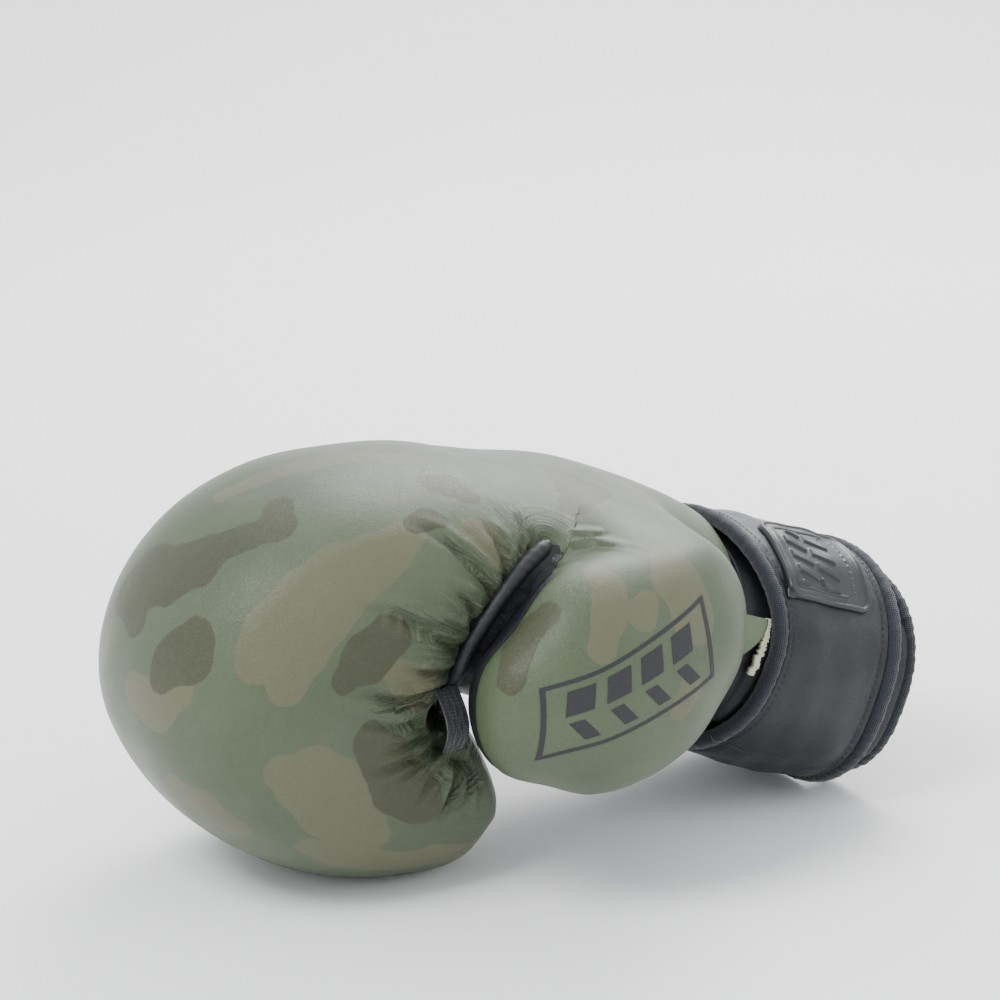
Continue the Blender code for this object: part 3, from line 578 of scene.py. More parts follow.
def line_place(points, line):
    """For each point, the distance to a line of points and how far along it that is."""
    nearest = np.full(len(points), 1e3)
    along = np.zeros(len(points))
    done = 0.0
    for start, end in zip(line, line[1:]):
        a, step = np.array(start, float), np.array(end, float) - np.array(start, float)
        length = np.linalg.norm(step)
        t = np.clip((points - a) @ step / length**2, 0, 1)
        away = np.linalg.norm(points - a - t[:, None] * step, axis=1)
        closer = away < nearest
        nearest[closer] = away[closer]
        along[closer] = (done + t * length)[closer]
        done += length
    return nearest, along, done


def wobble(points, scale, seed):
    """A smooth wave in space that keeps outlines from being even."""
    turns = random.Random(seed)
    total = np.zeros(len(points))
    for _ in range(4):
        way = np.array([turns.gauss(0, 1) for _ in range(3)])
        way *= 2 * math.pi / scale * turns.uniform(0.6, 1.5) / np.linalg.norm(way)
        total += np.sin(points @ way + turns.uniform(0, 6.28))
    return total / 4


BLOTCH_BLEND = 3.0
BLOTCHES_UNSEEN = 46


def spare_blotches(points, seed, runs):
    """Blotches for the sides that the listed ones leave bare."""
    pick = random.Random(seed)
    placed = np.array([link[:3] for run in runs for link in run], float)
    made = []
    for _ in range(BLOTCHES_UNSEEN):
        start = points[pick.randrange(len(points))]
        way = np.array([pick.gauss(0, 1) for _ in range(3)])
        way /= np.linalg.norm(way)
        run = []
        for k in range(pick.choice((2, 3, 4))):
            run.append((*(start + way * k * 10), pick.uniform(3, 9.5)))
            way = way + np.array([pick.gauss(0, 0.6) for _ in range(3)])
            way /= np.linalg.norm(way)
        middle = np.array(run[len(run) // 2][:3])
        seen = middle[1] < -20 or (middle[1] < 12 and middle[2] > 90)
        if not seen and np.linalg.norm(placed - middle, axis=1).min() > 20:
            made.append(run)
    return made


def colour_distance(points, runs, seed):
    every = runs + spare_blotches(points, seed, runs)
    nearest = np.full(len(points), 50.0)
    for run in every:
        nearest = np.minimum(nearest, run_distance(points, run))
    return nearest + 1.1 * wobble(points, 17, seed) + 0.5 * wobble(points, 7, seed + 1)


def hand_place(point):
    """Forward of the wrist, degrees of curl and the section at a point of the hand's skin."""
    from_crease = point - CREASE
    forward = (WRIST - point).dot(REARWARD)
    if from_crease.dot(BACKWARD) > 0 and forward < HAND_LENGTH:
        return forward, 0.0, hand_section(max(forward, 0))
    turn = (math.degrees(math.atan2(from_crease.z, from_crease.x)) - 90
            + math.degrees(TILT)) % 360
    if turn > FIST_TURN + 40:
        turn = 0.0
    return HAND_LENGTH, turn, fist_section(min(turn, FIST_TURN))


def camo_margin(point, on_thumb):
    """How far a point lies inside the camouflage panels, in millimetres; black leather below 0."""
    forward_x = WRIST.x - point.x
    if on_thumb:
        spine = thumb_spine(forward_x)
        inside = (point - spine).dot(thumb_section(forward_x)[0].side.normalized())
        over_root = float(ease(86, 78, forward_x)) * float(ease(-6, 4, point.z - spine.z))
        return 2.0 - inside + 60 * over_root
    forward, turn, section = hand_place(point)
    reach = (point - section.centre).dot(section.up.normalized()) / section.up.length
    across = point.y / section.side.length
    degrees = math.degrees(math.atan2(abs(across), reach))
    per_degree = math.radians(1) * (section.up.length + section.side.length) / 2
    if point.y > 0:
        return (smooth(LITTLE_SIDE_SEAM, turn) - degrees) * per_degree
    if turn:
        seam = smooth(CURL_SEAM, turn)
    else:
        seam = smooth(STRAIGHT_SEAM, forward)
    return (seam - degrees) * per_degree


STRAIGHT_SEAM = [(0, 112), (40, 112), (72, 100), (84, 66)] + [
    (f, d) for f, t, d in FINGER_SEAM if not t]
CURL_SEAM = [(0, 88)] + [(t, d) for f, t, d in FINGER_SEAM if t] + [
    (60, 152), (120, 158), (175, 154), (224, 146)]


def shape_skin(skin, lobes):
    """Draws in the seams, gathers the leather beside the piping and lays out its colours."""
    mesh = skin.data
    points = coordinates(mesh)
    design = to_design(points)
    out = normals(mesh)
    to_hand, to_thumb = (np.array([lobes[name].find_nearest(Vector(p))[3] for p in points]) / MM
                         for name in ("hand_lobe", "thumb_lobe"))
    on_thumb = (to_thumb < to_hand) | ((to_hand > 1.5) & (design[:, 0] < 60))
    margin = np.array([camo_margin(Vector(p), t) for p, t in zip(design, on_thumb)])
    olive = colour_distance(design, OLIVE, 5)
    # Distance to the tan blotches, which include the painted sheen strip on the top ridge.
    khaki_and_sheen = colour_distance(design, KHAKI_AND_SHEEN, 11)
    seam = [tuple(p) for p in PIPING] + CURL_EDGE
    away, along, _ = line_place(design, seam)
    finger_side = ~on_thumb & (design[:, 1] < -20)
    pull = np.where(finger_side, 2.0 * np.exp(-(away / 4.5) ** 2), 0)
    pull += np.where(~on_thumb, 0.9 * np.exp(-(margin / 1.6) ** 2), 0.5 * np.exp(
        -(margin / 1.4) ** 2))
    gather = np.where(finger_side, np.exp(-away / 17), 0)
    ruffle = (0.5 + 0.5 * np.sin(along * 1.9 + 1.6 * np.sin(along * 0.53) + away * 0.05)) ** 2
    pull += np.where(finger_side & (margin > 0), 0.32 * np.exp(-away / 7) * ruffle, 0)
    for depth, width, line in FOLDS:
        low = np.min(line, axis=0) - 4 * width
        high = np.max(line, axis=0) + 4 * width
        near = np.flatnonzero(np.all((design > low) & (design < high), axis=1))
        off, way, length = line_place(design[near], line)
        deepening = ease(-0.05, 0.55, way / length)
        valley = np.exp(-(off / (0.75 * width)) ** 2)
        ridge = np.exp(-((off - 1.9 * width) / (0.9 * width)) ** 2)
        pull[near] += 1.25 * depth * deepening * (valley - 0.34 * ridge)
        gather[near] = np.maximum(gather[near], 0.8 * deepening * np.exp(-off / (3 * width)))
    pull = np.clip(pull, -0.9, 3.2)
    set_coordinates(mesh, points - out * (pull * MM)[:, None])
    floor = coordinates(mesh)
    floor[:, 2] = np.maximum(floor[:, 2], 0)
    set_coordinates(mesh, floor)
    for name, values in (("camo_margin", margin), ("olive", olive), ("khaki_and_sheen", khaki_and_sheen),
                         ("gather", gather), ("along_seam", along), ("from_seam", away),
                         ("thumb_side", on_thumb)):
        layer = mesh.attributes.new(name, "FLOAT", "POINT")
        layer.data.foreach_set("value", np.asarray(values, np.float32))


# The finger panel's edge round the curl, beyond the webbing loop
CURL_EDGE = [(-45, -50, 66), (-44, -49, 58), (-40, -50, 50), (-34, -49, 47), (-30, -46, 38)]

# ------------------------------------------------------------------ finishes
class Finish:
    """A material, with short words for the nodes that make it."""

    def __init__(self, name, roughness, sheen=0.0, coat=0.0, metallic=0.0, specular=0.5):
        self.material = bpy.data.materials.new(name)
        self.material.use_nodes = True
        self.nodes, self.links = self.material.node_tree.nodes, self.material.node_tree.links
        self.shader = self.nodes["Principled BSDF"]
        for socket, value in (("Roughness", roughness), ("Sheen Weight", sheen),
                              ("Coat Weight", coat), ("Metallic", metallic),
                              ("Specular IOR Level", specular), ("Coat Roughness", 0.35),
                              ("Sheen Roughness", 0.45)):
            self.shader.inputs[socket].default_value = value
        self.place = self.node("ShaderNodeTexCoord").outputs["Object"]

    def node(self, kind, **settings):
        made = self.nodes.new(kind)
        for key, value in settings.items():
            setattr(made, key, value)
        return made

    def join(self, source, target):
        if isinstance(source, (int, float)):
            target.default_value = source
        elif isinstance(source, tuple):
            target.default_value = (*source, 1) if len(source) == 3 else source
        else:
            self.links.new(source, target)

    def noise(self, scale, detail=3.0, roughness=0.5, place=None, distortion=0.0):
        made = self.node("ShaderNodeTexNoise")
        for socket, value in (("Scale", scale), ("Detail", detail), ("Roughness", roughness),
                              ("Distortion", distortion)):
            made.inputs[socket].default_value = value
        self.join(place or self.place, made.inputs["Vector"])
        return made.outputs["Fac"]

    def cells(self, scale, feature="F1", place=None):
        made = self.node("ShaderNodeTexVoronoi", feature=feature)
        made.inputs["Scale"].default_value = scale
        self.join(place or self.place, made.inputs["Vector"])
        return made.outputs["Distance"]

    def wave(self, scale, direction="X", place=None, distortion=0.0):
        made = self.node("ShaderNodeTexWave", bands_direction=direction)
        made.inputs["Scale"].default_value = scale
        made.inputs["Distortion"].default_value = distortion
        self.join(place or self.place, made.inputs["Vector"])
        return made.outputs["Fac"]

    def maths(self, operation, a, b=0.0, clamp=False):
        made = self.node("ShaderNodeMath", operation=operation, use_clamp=clamp)
        self.join(a, made.inputs[0])
        self.join(b, made.inputs[1])
        return made.outputs[0]

    def within(self, value, low, high):
        """0 where value is under low and 1 where it is over high, or the reverse."""
        made = self.node("ShaderNodeMapRange", interpolation_type="SMOOTHSTEP")
        self.join(value, made.inputs["Value"])
        for socket, amount in (("From Min", min(low, high)), ("From Max", max(low, high)),
                               ("To Min", float(low > high)), ("To Max", float(low < high))):
            made.inputs[socket].default_value = amount
        return made.outputs["Result"]

    def ranged(self, value, low, high, out_low, out_high):
        made = self.node("ShaderNodeMapRange")
        self.join(value, made.inputs["Value"])
        for socket, amount in (("From Min", low), ("From Max", high), ("To Min", out_low),
                               ("To Max", out_high)):
            made.inputs[socket].default_value = amount
        return made.outputs["Result"]

    def mix(self, share, first, second, blend="MIX"):
        made = self.node("ShaderNodeMix", data_type="RGBA", blend_type=blend)
        self.join(share, made.inputs["Factor"])
        self.join(first, made.inputs[6])
        self.join(second, made.inputs[7])
        return made.outputs[2]

    def attribute(self, name):
        return self.node("ShaderNodeAttribute", attribute_name=name).outputs["Fac"]

    def vector(self, x, y, z=0.0):
        made = self.node("ShaderNodeCombineXYZ")
        for value, socket in zip((x, y, z), made.inputs):
            self.join(value, socket)
        return made.outputs[0]

    def bump(self, *layers):
        """Layers of (height, depth in metres), laid on each other."""
        below = None
        for height, depth in layers:
            made = self.node("ShaderNodeBump")
            made.inputs["Distance"].default_value = depth
            self.join(height, made.inputs["Height"])
            if below is not None:
                self.join(below, made.inputs["Normal"])
            below = made.outputs["Normal"]
        self.join(below, self.shader.inputs["Normal"])

    def colour(self, source):
        self.join(source, self.shader.inputs["Base Color"])

    def rough(self, source):
        self.join(source, self.shader.inputs["Roughness"])


def leather_grain(finish, scale=1.0):
    """Fine pebbles and pores of smooth-coated leather."""
    pebbles = finish.within(finish.cells(1900 * scale, "DISTANCE_TO_EDGE"), 0.0, 0.22)
    creases = finish.noise(420 * scale, 4, 0.6, distortion=0.6)
    return [(pebbles, 0.00005), (creases, 0.00012)]


SAGE = (0.050, 0.074, 0.035)
SAGE_PALE = (0.063, 0.088, 0.044)
OLIVE_GREEN = (0.030, 0.033, 0.010)
# The camouflage's tan, also the colour of the painted sheen along the top ridge.
KHAKI_TAN_AND_SHEEN = (0.100, 0.098, 0.052)
LEATHER_BLACK = (0.0055, 0.0062, 0.0085)


def camouflage():
    """Satin leather in sage, olive and tan blotches, with a painted highlight in tan for the sheen along the
    top ridge; its hidden panels are black.
    """
    made = Finish("camo_leather", 0.38, coat=0.03, specular=0.36)
    cloudy = made.noise(22, 3, 0.55)
    base = made.mix(made.within(cloudy, 0.35, 0.68), SAGE, SAGE_PALE)
    # Mask of the tan blotches and of the painted highlight along the top ridge.
    khaki_and_sheen = made.within(made.maths("ADD", made.attribute("khaki_and_sheen"),
                                   made.ranged(made.noise(260, 2), 0, 1, -0.4, 0.4)), 2.15, 1.4)
    olive = made.within(made.maths("ADD", made.attribute("olive"),
                                   made.ranged(made.noise(260, 2), 0, 1, -0.4, 0.4)), 2.15, 1.4)
    # Tan blotches, and the painted highlight of the top ridge's sheen in the same tan.
    tinted = made.mix(made.maths("MULTIPLY", khaki_and_sheen, 0.82), base, KHAKI_TAN_AND_SHEEN)
    tinted = made.mix(made.maths("MULTIPLY", olive, 0.92), tinted, OLIVE_GREEN)
    gather = made.attribute("gather")
    stretched = made.vector(made.maths("MULTIPLY", made.attribute("along_seam"), 0.9),
                            made.maths("MULTIPLY", made.attribute("from_seam"), 0.09))
    streaks = made.noise(1.0, 4, 0.62, place=stretched, distortion=0.5)
    worn = made.maths("MULTIPLY", made.within(streaks, 0.5, 0.72),
                     made.within(gather, 0.18, 0.8))
    tinted = made.mix(made.maths("MULTIPLY", worn, 0.5), tinted, (0.30, 0.30, 0.20))
    shade = made.noise(900, 2, 0.5)
    tinted = made.mix(0.16, tinted, made.mix(shade, (0.02, 0.024, 0.016), (0.15, 0.16, 0.115)))
    camo = made.within(made.attribute("camo_margin"), -0.15, 0.15)
    made.colour(made.mix(camo, LEATHER_BLACK, tinted))
    made.rough(made.maths("ADD", made.ranged(made.noise(60, 3), 0.3, 0.7, 0.33, 0.42),
                          made.maths("MULTIPLY", worn, 0.08)))
    wrinkles = made.maths("MULTIPLY", streaks, made.within(gather, 0.16, 0.75))
    made.bump((wrinkles, 0.0036), *leather_grain(made))
    return made.material


def black_leather(name="black_leather", tint=LEATHER_BLACK, roughness=0.46):
    made = Finish(name, roughness, coat=0.03, specular=0.36)
    cloudy = made.noise(45, 4, 0.6)
    scuffs = made.within(made.noise(130, 5, 0.7, distortion=1.2), 0.60, 0.78)
    body = made.mix(made.within(cloudy, 0.3, 0.7), tint, tuple(c * 1.45 for c in tint))
    made.colour(made.mix(made.maths("MULTIPLY", scuffs, 0.35), body, (0.045, 0.048, 0.054)))
    made.rough(made.ranged(made.noise(80, 3), 0.3, 0.7, roughness - 0.06, roughness + 0.08))
    soft_folds = made.noise(70, 3, 0.5, distortion=0.8)
    made.bump((soft_folds, 0.0006), *leather_grain(made, 0.8))
    return made.material


def woven(name, tint, threads=2600, roughness=0.82, sheen=0.25):
    """A close plain weave that follows the piece's own UV map, in metres."""
    made = Finish(name, roughness, sheen=sheen, specular=0.25)
    uv = made.node("ShaderNodeUVMap", uv_map="length").outputs[0]
    warp = made.wave(threads / 6.28, "X", place=uv)
    weft = made.wave(threads / 6.28, "Y", place=uv)
    weave = made.maths("MULTIPLY", warp, weft)
    fuzz = made.noise(1500, 3, 0.7)
    body = made.mix(weave, tuple(c * 0.6 for c in tint), tuple(c * 1.8 for c in tint))
    made.colour(made.mix(made.maths("MULTIPLY", fuzz, 0.4), body, tuple(c * 2.6 for c in tint)))
    made.bump((weave, 0.00022), (fuzz, 0.00010), (made.noise(140, 3), 0.0005))
    return made.material


def moulded_rubber():
    made = Finish("patch_rubber", 0.38, specular=0.5)
    made.colour(made.mix(made.noise(200, 3), (0.009, 0.0095, 0.0105), (0.018, 0.019, 0.021)))
    made.rough(made.ranged(made.noise(120, 3), 0.3, 0.7, 0.30, 0.44))
    made.bump((made.noise(1400, 3), 0.00006))
    return made.material


def foam():
    made = Finish("padding_foam", 0.9, specular=0.2)
    made.colour(made.mix(made.noise(160, 4), (0.62, 0.57, 0.44), (0.74, 0.70, 0.58)))
    made.bump((made.cells(900), 0.0004))
    return made.material


def brushed_lining():
    made = Finish("lining_fabric", 0.92, sheen=0.35, specular=0.2)
    fibres = made.noise(1300, 5, 0.75, distortion=2.0)
    made.colour(made.mix(fibres, (0.008, 0.008, 0.009), (0.045, 0.046, 0.05)))
    made.bump((fibres, 0.0004), (made.noise(90, 3), 0.0012))
    return made.material


def tape(name, tint, scale, depth):
    made = Finish(name, 0.85, sheen=0.2, specular=0.25)
    tufts = made.cells(scale)
    made.colour(made.mix(tufts, tuple(c * 2.4 for c in tint), tint))
    made.bump((tufts, depth))
    return made.material


def printed(name, tint, roughness=0.5):
    """Ink on leather: flat colour, broken a little where it has rubbed."""
    made = Finish(name, roughness, specular=0.4)
    rubbed = made.within(made.noise(420, 4, 0.7), 0.66, 0.8)
    made.colour(made.mix(made.maths("MULTIPLY", rubbed, 0.3), tint,
                         tuple(c * 0.5 + 0.10 for c in tint)))
    made.bump(*leather_grain(made))
    return made.material


def raw_edge():
    """The pale cut edge of leather, with its loose fibres."""
    made = Finish("raw_leather_edge", 0.9, sheen=0.3, specular=0.2)
    made.colour(made.mix(made.noise(1600, 4, 0.7), (0.42, 0.42, 0.27), (0.78, 0.78, 0.58)))
    made.bump((made.noise(2200, 4, 0.7), 0.0004))
    return made.material


def thread(tint):
    made = Finish("sewing_thread", 0.6, specular=0.35)
    made.colour(made.mix(made.noise(2500, 2), tint, tuple(c * 2.2 for c in tint)))
    made.bump((made.noise(3000, 2), 0.0001))
    return made.material

# ------------------------------------------------------------------ sewn pieces
def finished(name, points, faces, finish, slot_name, uvs=None):
    """A piece in its finish, with its normals out and its UV map in metres where it has one."""
    made = mesh_object(name, points, faces, finish)
    if uvs is not None:
        layer = made.data.uv_layers.new(name="length")
        for loop in made.data.loops:
            layer.data[loop.index].uv = uvs[loop.vertex_index]
    face_outwards(made.data)
    return made


def swept_roll(name, path, profile, finish, slot_name, outward, taper=None, crumple=0.0,
               seed=0):
    """A profile of (across, out) offsets along a path; outward(point, k) is the skin's normal."""
    turns = random.Random(seed)
    count, sides = len(path), len(profile)
    phase = [turns.uniform(0, 6.28) for _ in range(6)]
    points, uvs = [], []
    run = 0.0
    for k, point in enumerate(path):
        along = path[min(k + 1, count - 1)] - path[max(k - 1, 0)]
        along.normalize()
        out = outward(point, k)
        out = (out - along * out.dot(along)).normalized()
        across = along.cross(out)
        size = taper(k / (count - 1)) if taper else 1.0
        if k:
            run += (point - path[k - 1]).length
        for j, (a, o) in enumerate(profile):
            angle = 2 * math.pi * j / sides
            ripple = 1 + crumple * (math.sin(run * 1.7 + phase[0] + 2 * angle)
                                    + 0.7 * math.sin(run * 0.83 + phase[1] - angle)
                                    + 0.5 * math.sin(run * 3.1 + phase[2] + 3 * angle))
            points.append(point + (across * a + out * o) * size * ripple)
            uvs.append((run * MM, angle * 0.003))
    return finished(name, points, capped_faces(count, sides), finish, slot_name, uvs)


def oval(across, out, sides=18, power=2.0):
    ring = []
    for j in range(sides):
        a = 2 * math.pi * j / sides
        c, s = math.cos(a), math.sin(a)
        ring.append((across * math.copysign(abs(c) ** (2 / power), c),
                     out * math.copysign(abs(s) ** (2 / power), s)))
    return ring


def smooth_path(points, step):
    """Points every step millimetres on a smooth curve through the given ones."""
    given = [Vector(p) for p in points]
    dense = []
    for i in range(len(given) - 1):
        before = given[i - 1] if i else given[i] * 2 - given[i + 1]
        after = given[i + 2] if i + 2 < len(given) else given[i + 1] * 2 - given[i]
        for t in np.linspace(0, 1, 24, endpoint=False):
            a, b = given[i], given[i + 1]
            dense.append(0.5 * ((2 * a) + (b - before) * t
                                + (2 * before - 5 * a + 4 * b - after) * t * t
                                + (3 * a - before - 3 * b + after) * t**3))
    dense.append(given[-1])
    run = [0.0]
    for a, b in zip(dense, dense[1:]):
        run.append(run[-1] + (b - a).length)
    wanted = np.linspace(0, run[-1], max(2, round(run[-1] / step) + 1))
    columns = [np.interp(wanted, run, [p[axis] for p in dense]) for axis in range(3)]
    return [Vector(p) for p in zip(*columns)]


def softened(node, finish, slot_name, levels=2):
    """A rounded copy of a plain CAD solid, merged and subdivided."""
    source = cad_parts[node]
    mesh = source.data.copy()
    work = bmesh.new()
    work.from_mesh(mesh)
    bmesh.ops.remove_doubles(work, verts=work.verts, dist=0.00002)
    bmesh.ops.join_triangles(work, faces=work.faces, angle_face_threshold=0.5,
                             angle_shape_threshold=1.2)
    work.to_mesh(mesh)
    work.free()
    made = bpy.data.objects.new(node + "_soft", mesh)
    made.matrix_world = source.matrix_world
    bpy.context.scene.collection.objects.link(made)
    mesh.materials.clear()
    mesh.materials.append(finish)
    mesh.shade_smooth()
    rounder = made.modifiers.new("rounder", "SUBSURF")
    rounder.levels = rounder.render_levels = levels
    evaluated = made.evaluated_get(bpy.context.evaluated_depsgraph_get())
    made.data = bpy.data.meshes.new_from_object(evaluated)
    made.modifiers.clear()
    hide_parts(node)
    return made


# ------------------------------------------------------------------ stitches
def stitch_tree(finish):
    """Geometry nodes that lay short thread loops along a line of points."""
    tree = bpy.data.node_groups.new("stitch_row", "GeometryNodeTree")
    interface = tree.interface
    interface.new_socket("Geometry", in_out="INPUT", socket_type="NodeSocketGeometry")
    for name, value in (("Stitch Spacing", 0.0026), ("Stitch Length", 0.0019),
                        ("Thread Radius", 0.00022)):
        socket = interface.new_socket(name, in_out="INPUT", socket_type="NodeSocketFloat")
        socket.default_value = value
    interface.new_socket("Geometry", in_out="OUTPUT", socket_type="NodeSocketGeometry")
    nodes, links = tree.nodes, tree.links
    source, target = nodes.new("NodeGroupInput"), nodes.new("NodeGroupOutput")
    curve = nodes.new("GeometryNodeMeshToCurve")
    spaced = nodes.new("GeometryNodeCurveToPoints")
    spaced.mode = "LENGTH"
    bead = nodes.new("GeometryNodeMeshUVSphere")
    bead.inputs["Segments"].default_value = 6
    bead.inputs["Rings"].default_value = 4
    bead.inputs["Radius"].default_value = 1.0
    size = nodes.new("ShaderNodeCombineXYZ")
    half = nodes.new("ShaderNodeMath")
    half.operation = "MULTIPLY"
    half.inputs[1].default_value = 0.5
    placed = nodes.new("GeometryNodeInstanceOnPoints")
    real = nodes.new("GeometryNodeRealizeInstances")
    smooth_shade = nodes.new("GeometryNodeSetShadeSmooth")
    painted = nodes.new("GeometryNodeSetMaterial")
    painted.inputs["Material"].default_value = finish
    for a, b in ((source.outputs["Geometry"], curve.inputs["Mesh"]),
                 (curve.outputs["Curve"], spaced.inputs["Curve"]),
                 (source.outputs["Stitch Spacing"], spaced.inputs["Length"]),
                 (spaced.outputs["Points"], placed.inputs["Points"]),
                 (spaced.outputs["Rotation"], placed.inputs["Rotation"]),
                 (bead.outputs["Mesh"], placed.inputs["Instance"]),
                 (source.outputs["Stitch Length"], half.inputs[0]),
                 (source.outputs["Thread Radius"], size.inputs["X"]),
                 (source.outputs["Thread Radius"], size.inputs["Y"]),
                 (half.outputs[0], size.inputs["Z"]),
                 (size.outputs[0], placed.inputs["Scale"]),
                 (placed.outputs["Instances"], real.inputs["Geometry"]),
                 (real.outputs["Geometry"], smooth_shade.inputs["Geometry"]),
                 (smooth_shade.outputs["Geometry"], painted.inputs["Geometry"]),
                 (painted.outputs["Geometry"], target.inputs["Geometry"])):
        links.new(a, b)
    return tree


def stitch_row(name, path, tree, spacing=2.6, length=1.9, radius=0.22):
    """A row of stitches along a path, as a plain mesh."""
    mesh = bpy.data.meshes.new(name)
    edges = [(k, k + 1) for k in range(len(path) - 1)]
    mesh.from_pydata(to_row(path).tolist(), edges, [])
    made = bpy.data.objects.new(name, mesh)
    bpy.context.scene.collection.objects.link(made)
    row = made.modifiers.new("row", "NODES")
    row.node_group = tree
    sizes = {"Stitch Spacing": spacing, "Stitch Length": length, "Thread Radius": radius}
    for item in tree.interface.items_tree:
        if item.item_type == "SOCKET" and item.name in sizes:
            row[item.identifier] = sizes[item.name] * MM
    evaluated = made.evaluated_get(bpy.context.evaluated_depsgraph_get())
    made.data = bpy.data.meshes.new_from_object(evaluated)
    made.modifiers.clear()
    return made


def merged(name, objects, finish):
    """One object from several meshes that ride together."""
    work = bmesh.new()
    for part in objects:
        work.from_mesh(part.data)
    mesh = bpy.data.meshes.new(name)
    work.to_mesh(mesh)
    work.free()
    mesh.materials.clear()
    mesh.materials.append(finish)
    mesh.shade_smooth()
    drop(*objects)
    made = bpy.data.objects.new(name, mesh)
    bpy.context.scene.collection.objects.link(made)
    return made


# ------------------------------------------------------------------ cuff and strap
STRAP_FRONT, STRAP_REAR, STRAP_CUTBACK = 4.0, 61.0, 13.0
CUTBACK_MIDDLE, CUTBACK_SPREAD = 275, 52  # degrees round, beside the thumb's root
STRAP_THICKNESS, STRAP_LIFT = 3.5, 3.45
STRAP_START, STRAP_END = 100.0, 396.0  # degrees round the cuff
STRAP_SPLIT = 227.0  # the palm length and the outer length meet here
CUFF_SLIT = 28.0  # degrees left open on the palm side
RIM_OUT, RIM_DEPTH = 2.6, 3.2  # the rim's binding lies behind the cuff, in the middle of its wall
BINDING_WIDTH, BINDING_HEIGHT = 3.0, 2.7
PALM_BINDING_OUT = 2.4  # a binding's middle lies this far outside the strap's edge,
BINDING_OUT = 2.7  # and on the outer length this far
SEWN_INSET = 2.6  # the row of stitches lies this far inside the edge,
SEWN_DIP, SEWN_REACH = 0.75, 1.1  # and draws the leather in this deep and wide
STRAP_CROWN = 0.5  # the padding stands this much higher in the middle
EDGE_ROUND, EDGE_REACH = 1.2, 0.5
STRAP_STEP = 1.6  # degrees between the strap's rings
END_CORNER = 12.0  # the strap's end has corners of this radius
END_MM_PER_DEGREE = 0.68  # round the wrist, at the strap's end
LABEL_MM_PER_DEGREE = 0.72  # and at the label
DRAFT_REACH = 4.0  # how far apart two heights are compared for the cuff's outward way


def cuff_point(behind, degrees, lift):
    height = smooth(CUFF_HALF_HEIGHT, -behind) + lift
    width = smooth(CUFF_HALF_WIDTH, -behind) + lift
    point = axis_section(-behind, height, height, width).at(degrees)
    return Vector((point.x, point.y, max(point.z, 0.3)))


def cuff_outward(behind, degrees):
    raised = cuff_point(behind, degrees, DRAFT_REACH)
    return (raised - cuff_point(behind, degrees, 0)).normalized()


def strap_front(degrees):
    off = (degrees - CUTBACK_MIDDLE + 180) % 360 - 180
    return STRAP_FRONT + STRAP_CUTBACK * math.exp(-((off / CUTBACK_SPREAD) ** 2))


def strap_wave(behind, degrees):
    """How the strap's surface rises and falls as it lies, in millimetres."""
    return (0.45 * math.sin(degrees * 0.085 + behind * 0.10)
            + 0.3 * math.sin(degrees * 0.21 - behind * 0.13 + 1.3)
            + 0.18 * math.sin(behind * 0.42 + degrees * 0.05))


def strap_length(name, first, last, finish):
    """A padded length of strap: its edges dip where the bindings are sewn on."""
    angles = np.linspace(first, last, max(2, round((last - first) / STRAP_STEP)))
    across = [0, 0.006, 0.02, 0.045, 0.075, 0.11] + spread(0.15, 0.85, 26) + [
        0.89, 0.925, 0.955, 0.98, 0.994, 1]
    points, uvs = [], []
    for a in angles:
        front = strap_front(a)
        ring = []
        for t in across:
            behind = front + (STRAP_REAR - front) * t
            edge = min(t, 1 - t) * (STRAP_REAR - front)
            sewn = SEWN_DIP * math.exp(-((edge - SEWN_INSET) / SEWN_REACH) ** 2)
            crown = STRAP_THICKNESS + STRAP_CROWN * float(ease(2, 12, edge)) - sewn
            round_off = EDGE_ROUND * math.exp(-edge / EDGE_REACH)
            lift = STRAP_LIFT + crown - round_off + strap_wave(behind, a) * float(
                ease(1, 10, edge))
            ring.append((behind, lift))
        for t in reversed(across):
            ring.append((front + (STRAP_REAR - front) * t, STRAP_LIFT))
        for behind, lift in ring:
            points.append(cuff_point(behind, a, lift))
            uvs.append((behind * MM, a * 0.0008))
    faces = capped_faces(len(angles), 2 * len(across))
    return finished(name, points, faces, finish, "black_leather", uvs)


def strap_edge_path(first, last, front, inset, step=1.3):
    """Places along one edge of the strap, as (behind, degrees)."""
    places = []
    for a in np.linspace(first, last, max(2, round((last - first) / step))):
        behind = strap_front(a) + inset if front else STRAP_REAR - inset
        places.append((behind, float(a)))
    return places


def binding(name, places, finish, lift, width, height, seed, crumple=0.035):
    path = [cuff_point(b, a, lift) for b, a in places]
    outs = [cuff_outward(b, a) for b, a in places]
    return swept_roll(name, path, oval(width, height, 20, 2.3), finish, "binding_fabric",
                      lambda p, k: outs[k], crumple=crumple, seed=seed)


def strap_end_turn():
    """The way of the binding round the strap's end, from its front edge to its rear edge."""
    corner = END_CORNER
    per_mm = 1 / END_MM_PER_DEGREE
    front, last = strap_front(STRAP_END), STRAP_END
    places = []
    for t in spread(0, 90, 10):
        a = math.radians(t)
        places.append((front + corner * (1 - math.cos(a)) - BINDING_OUT * math.cos(a),
                       last - corner * (1 - math.sin(a)) * per_mm + BINDING_OUT * math.sin(a)))
    for behind in spread(front + corner + 3, STRAP_REAR - corner - 3, 14):
        places.append((behind, last + BINDING_OUT))
    for t in spread(90, 0, 10):
        a = math.radians(t)
        places.append((STRAP_REAR - corner * (1 - math.cos(a)) + BINDING_OUT * math.cos(a),
                       last - corner * (1 - math.sin(a)) * per_mm + BINDING_OUT * math.sin(a)))
    return places, last - corner * per_mm


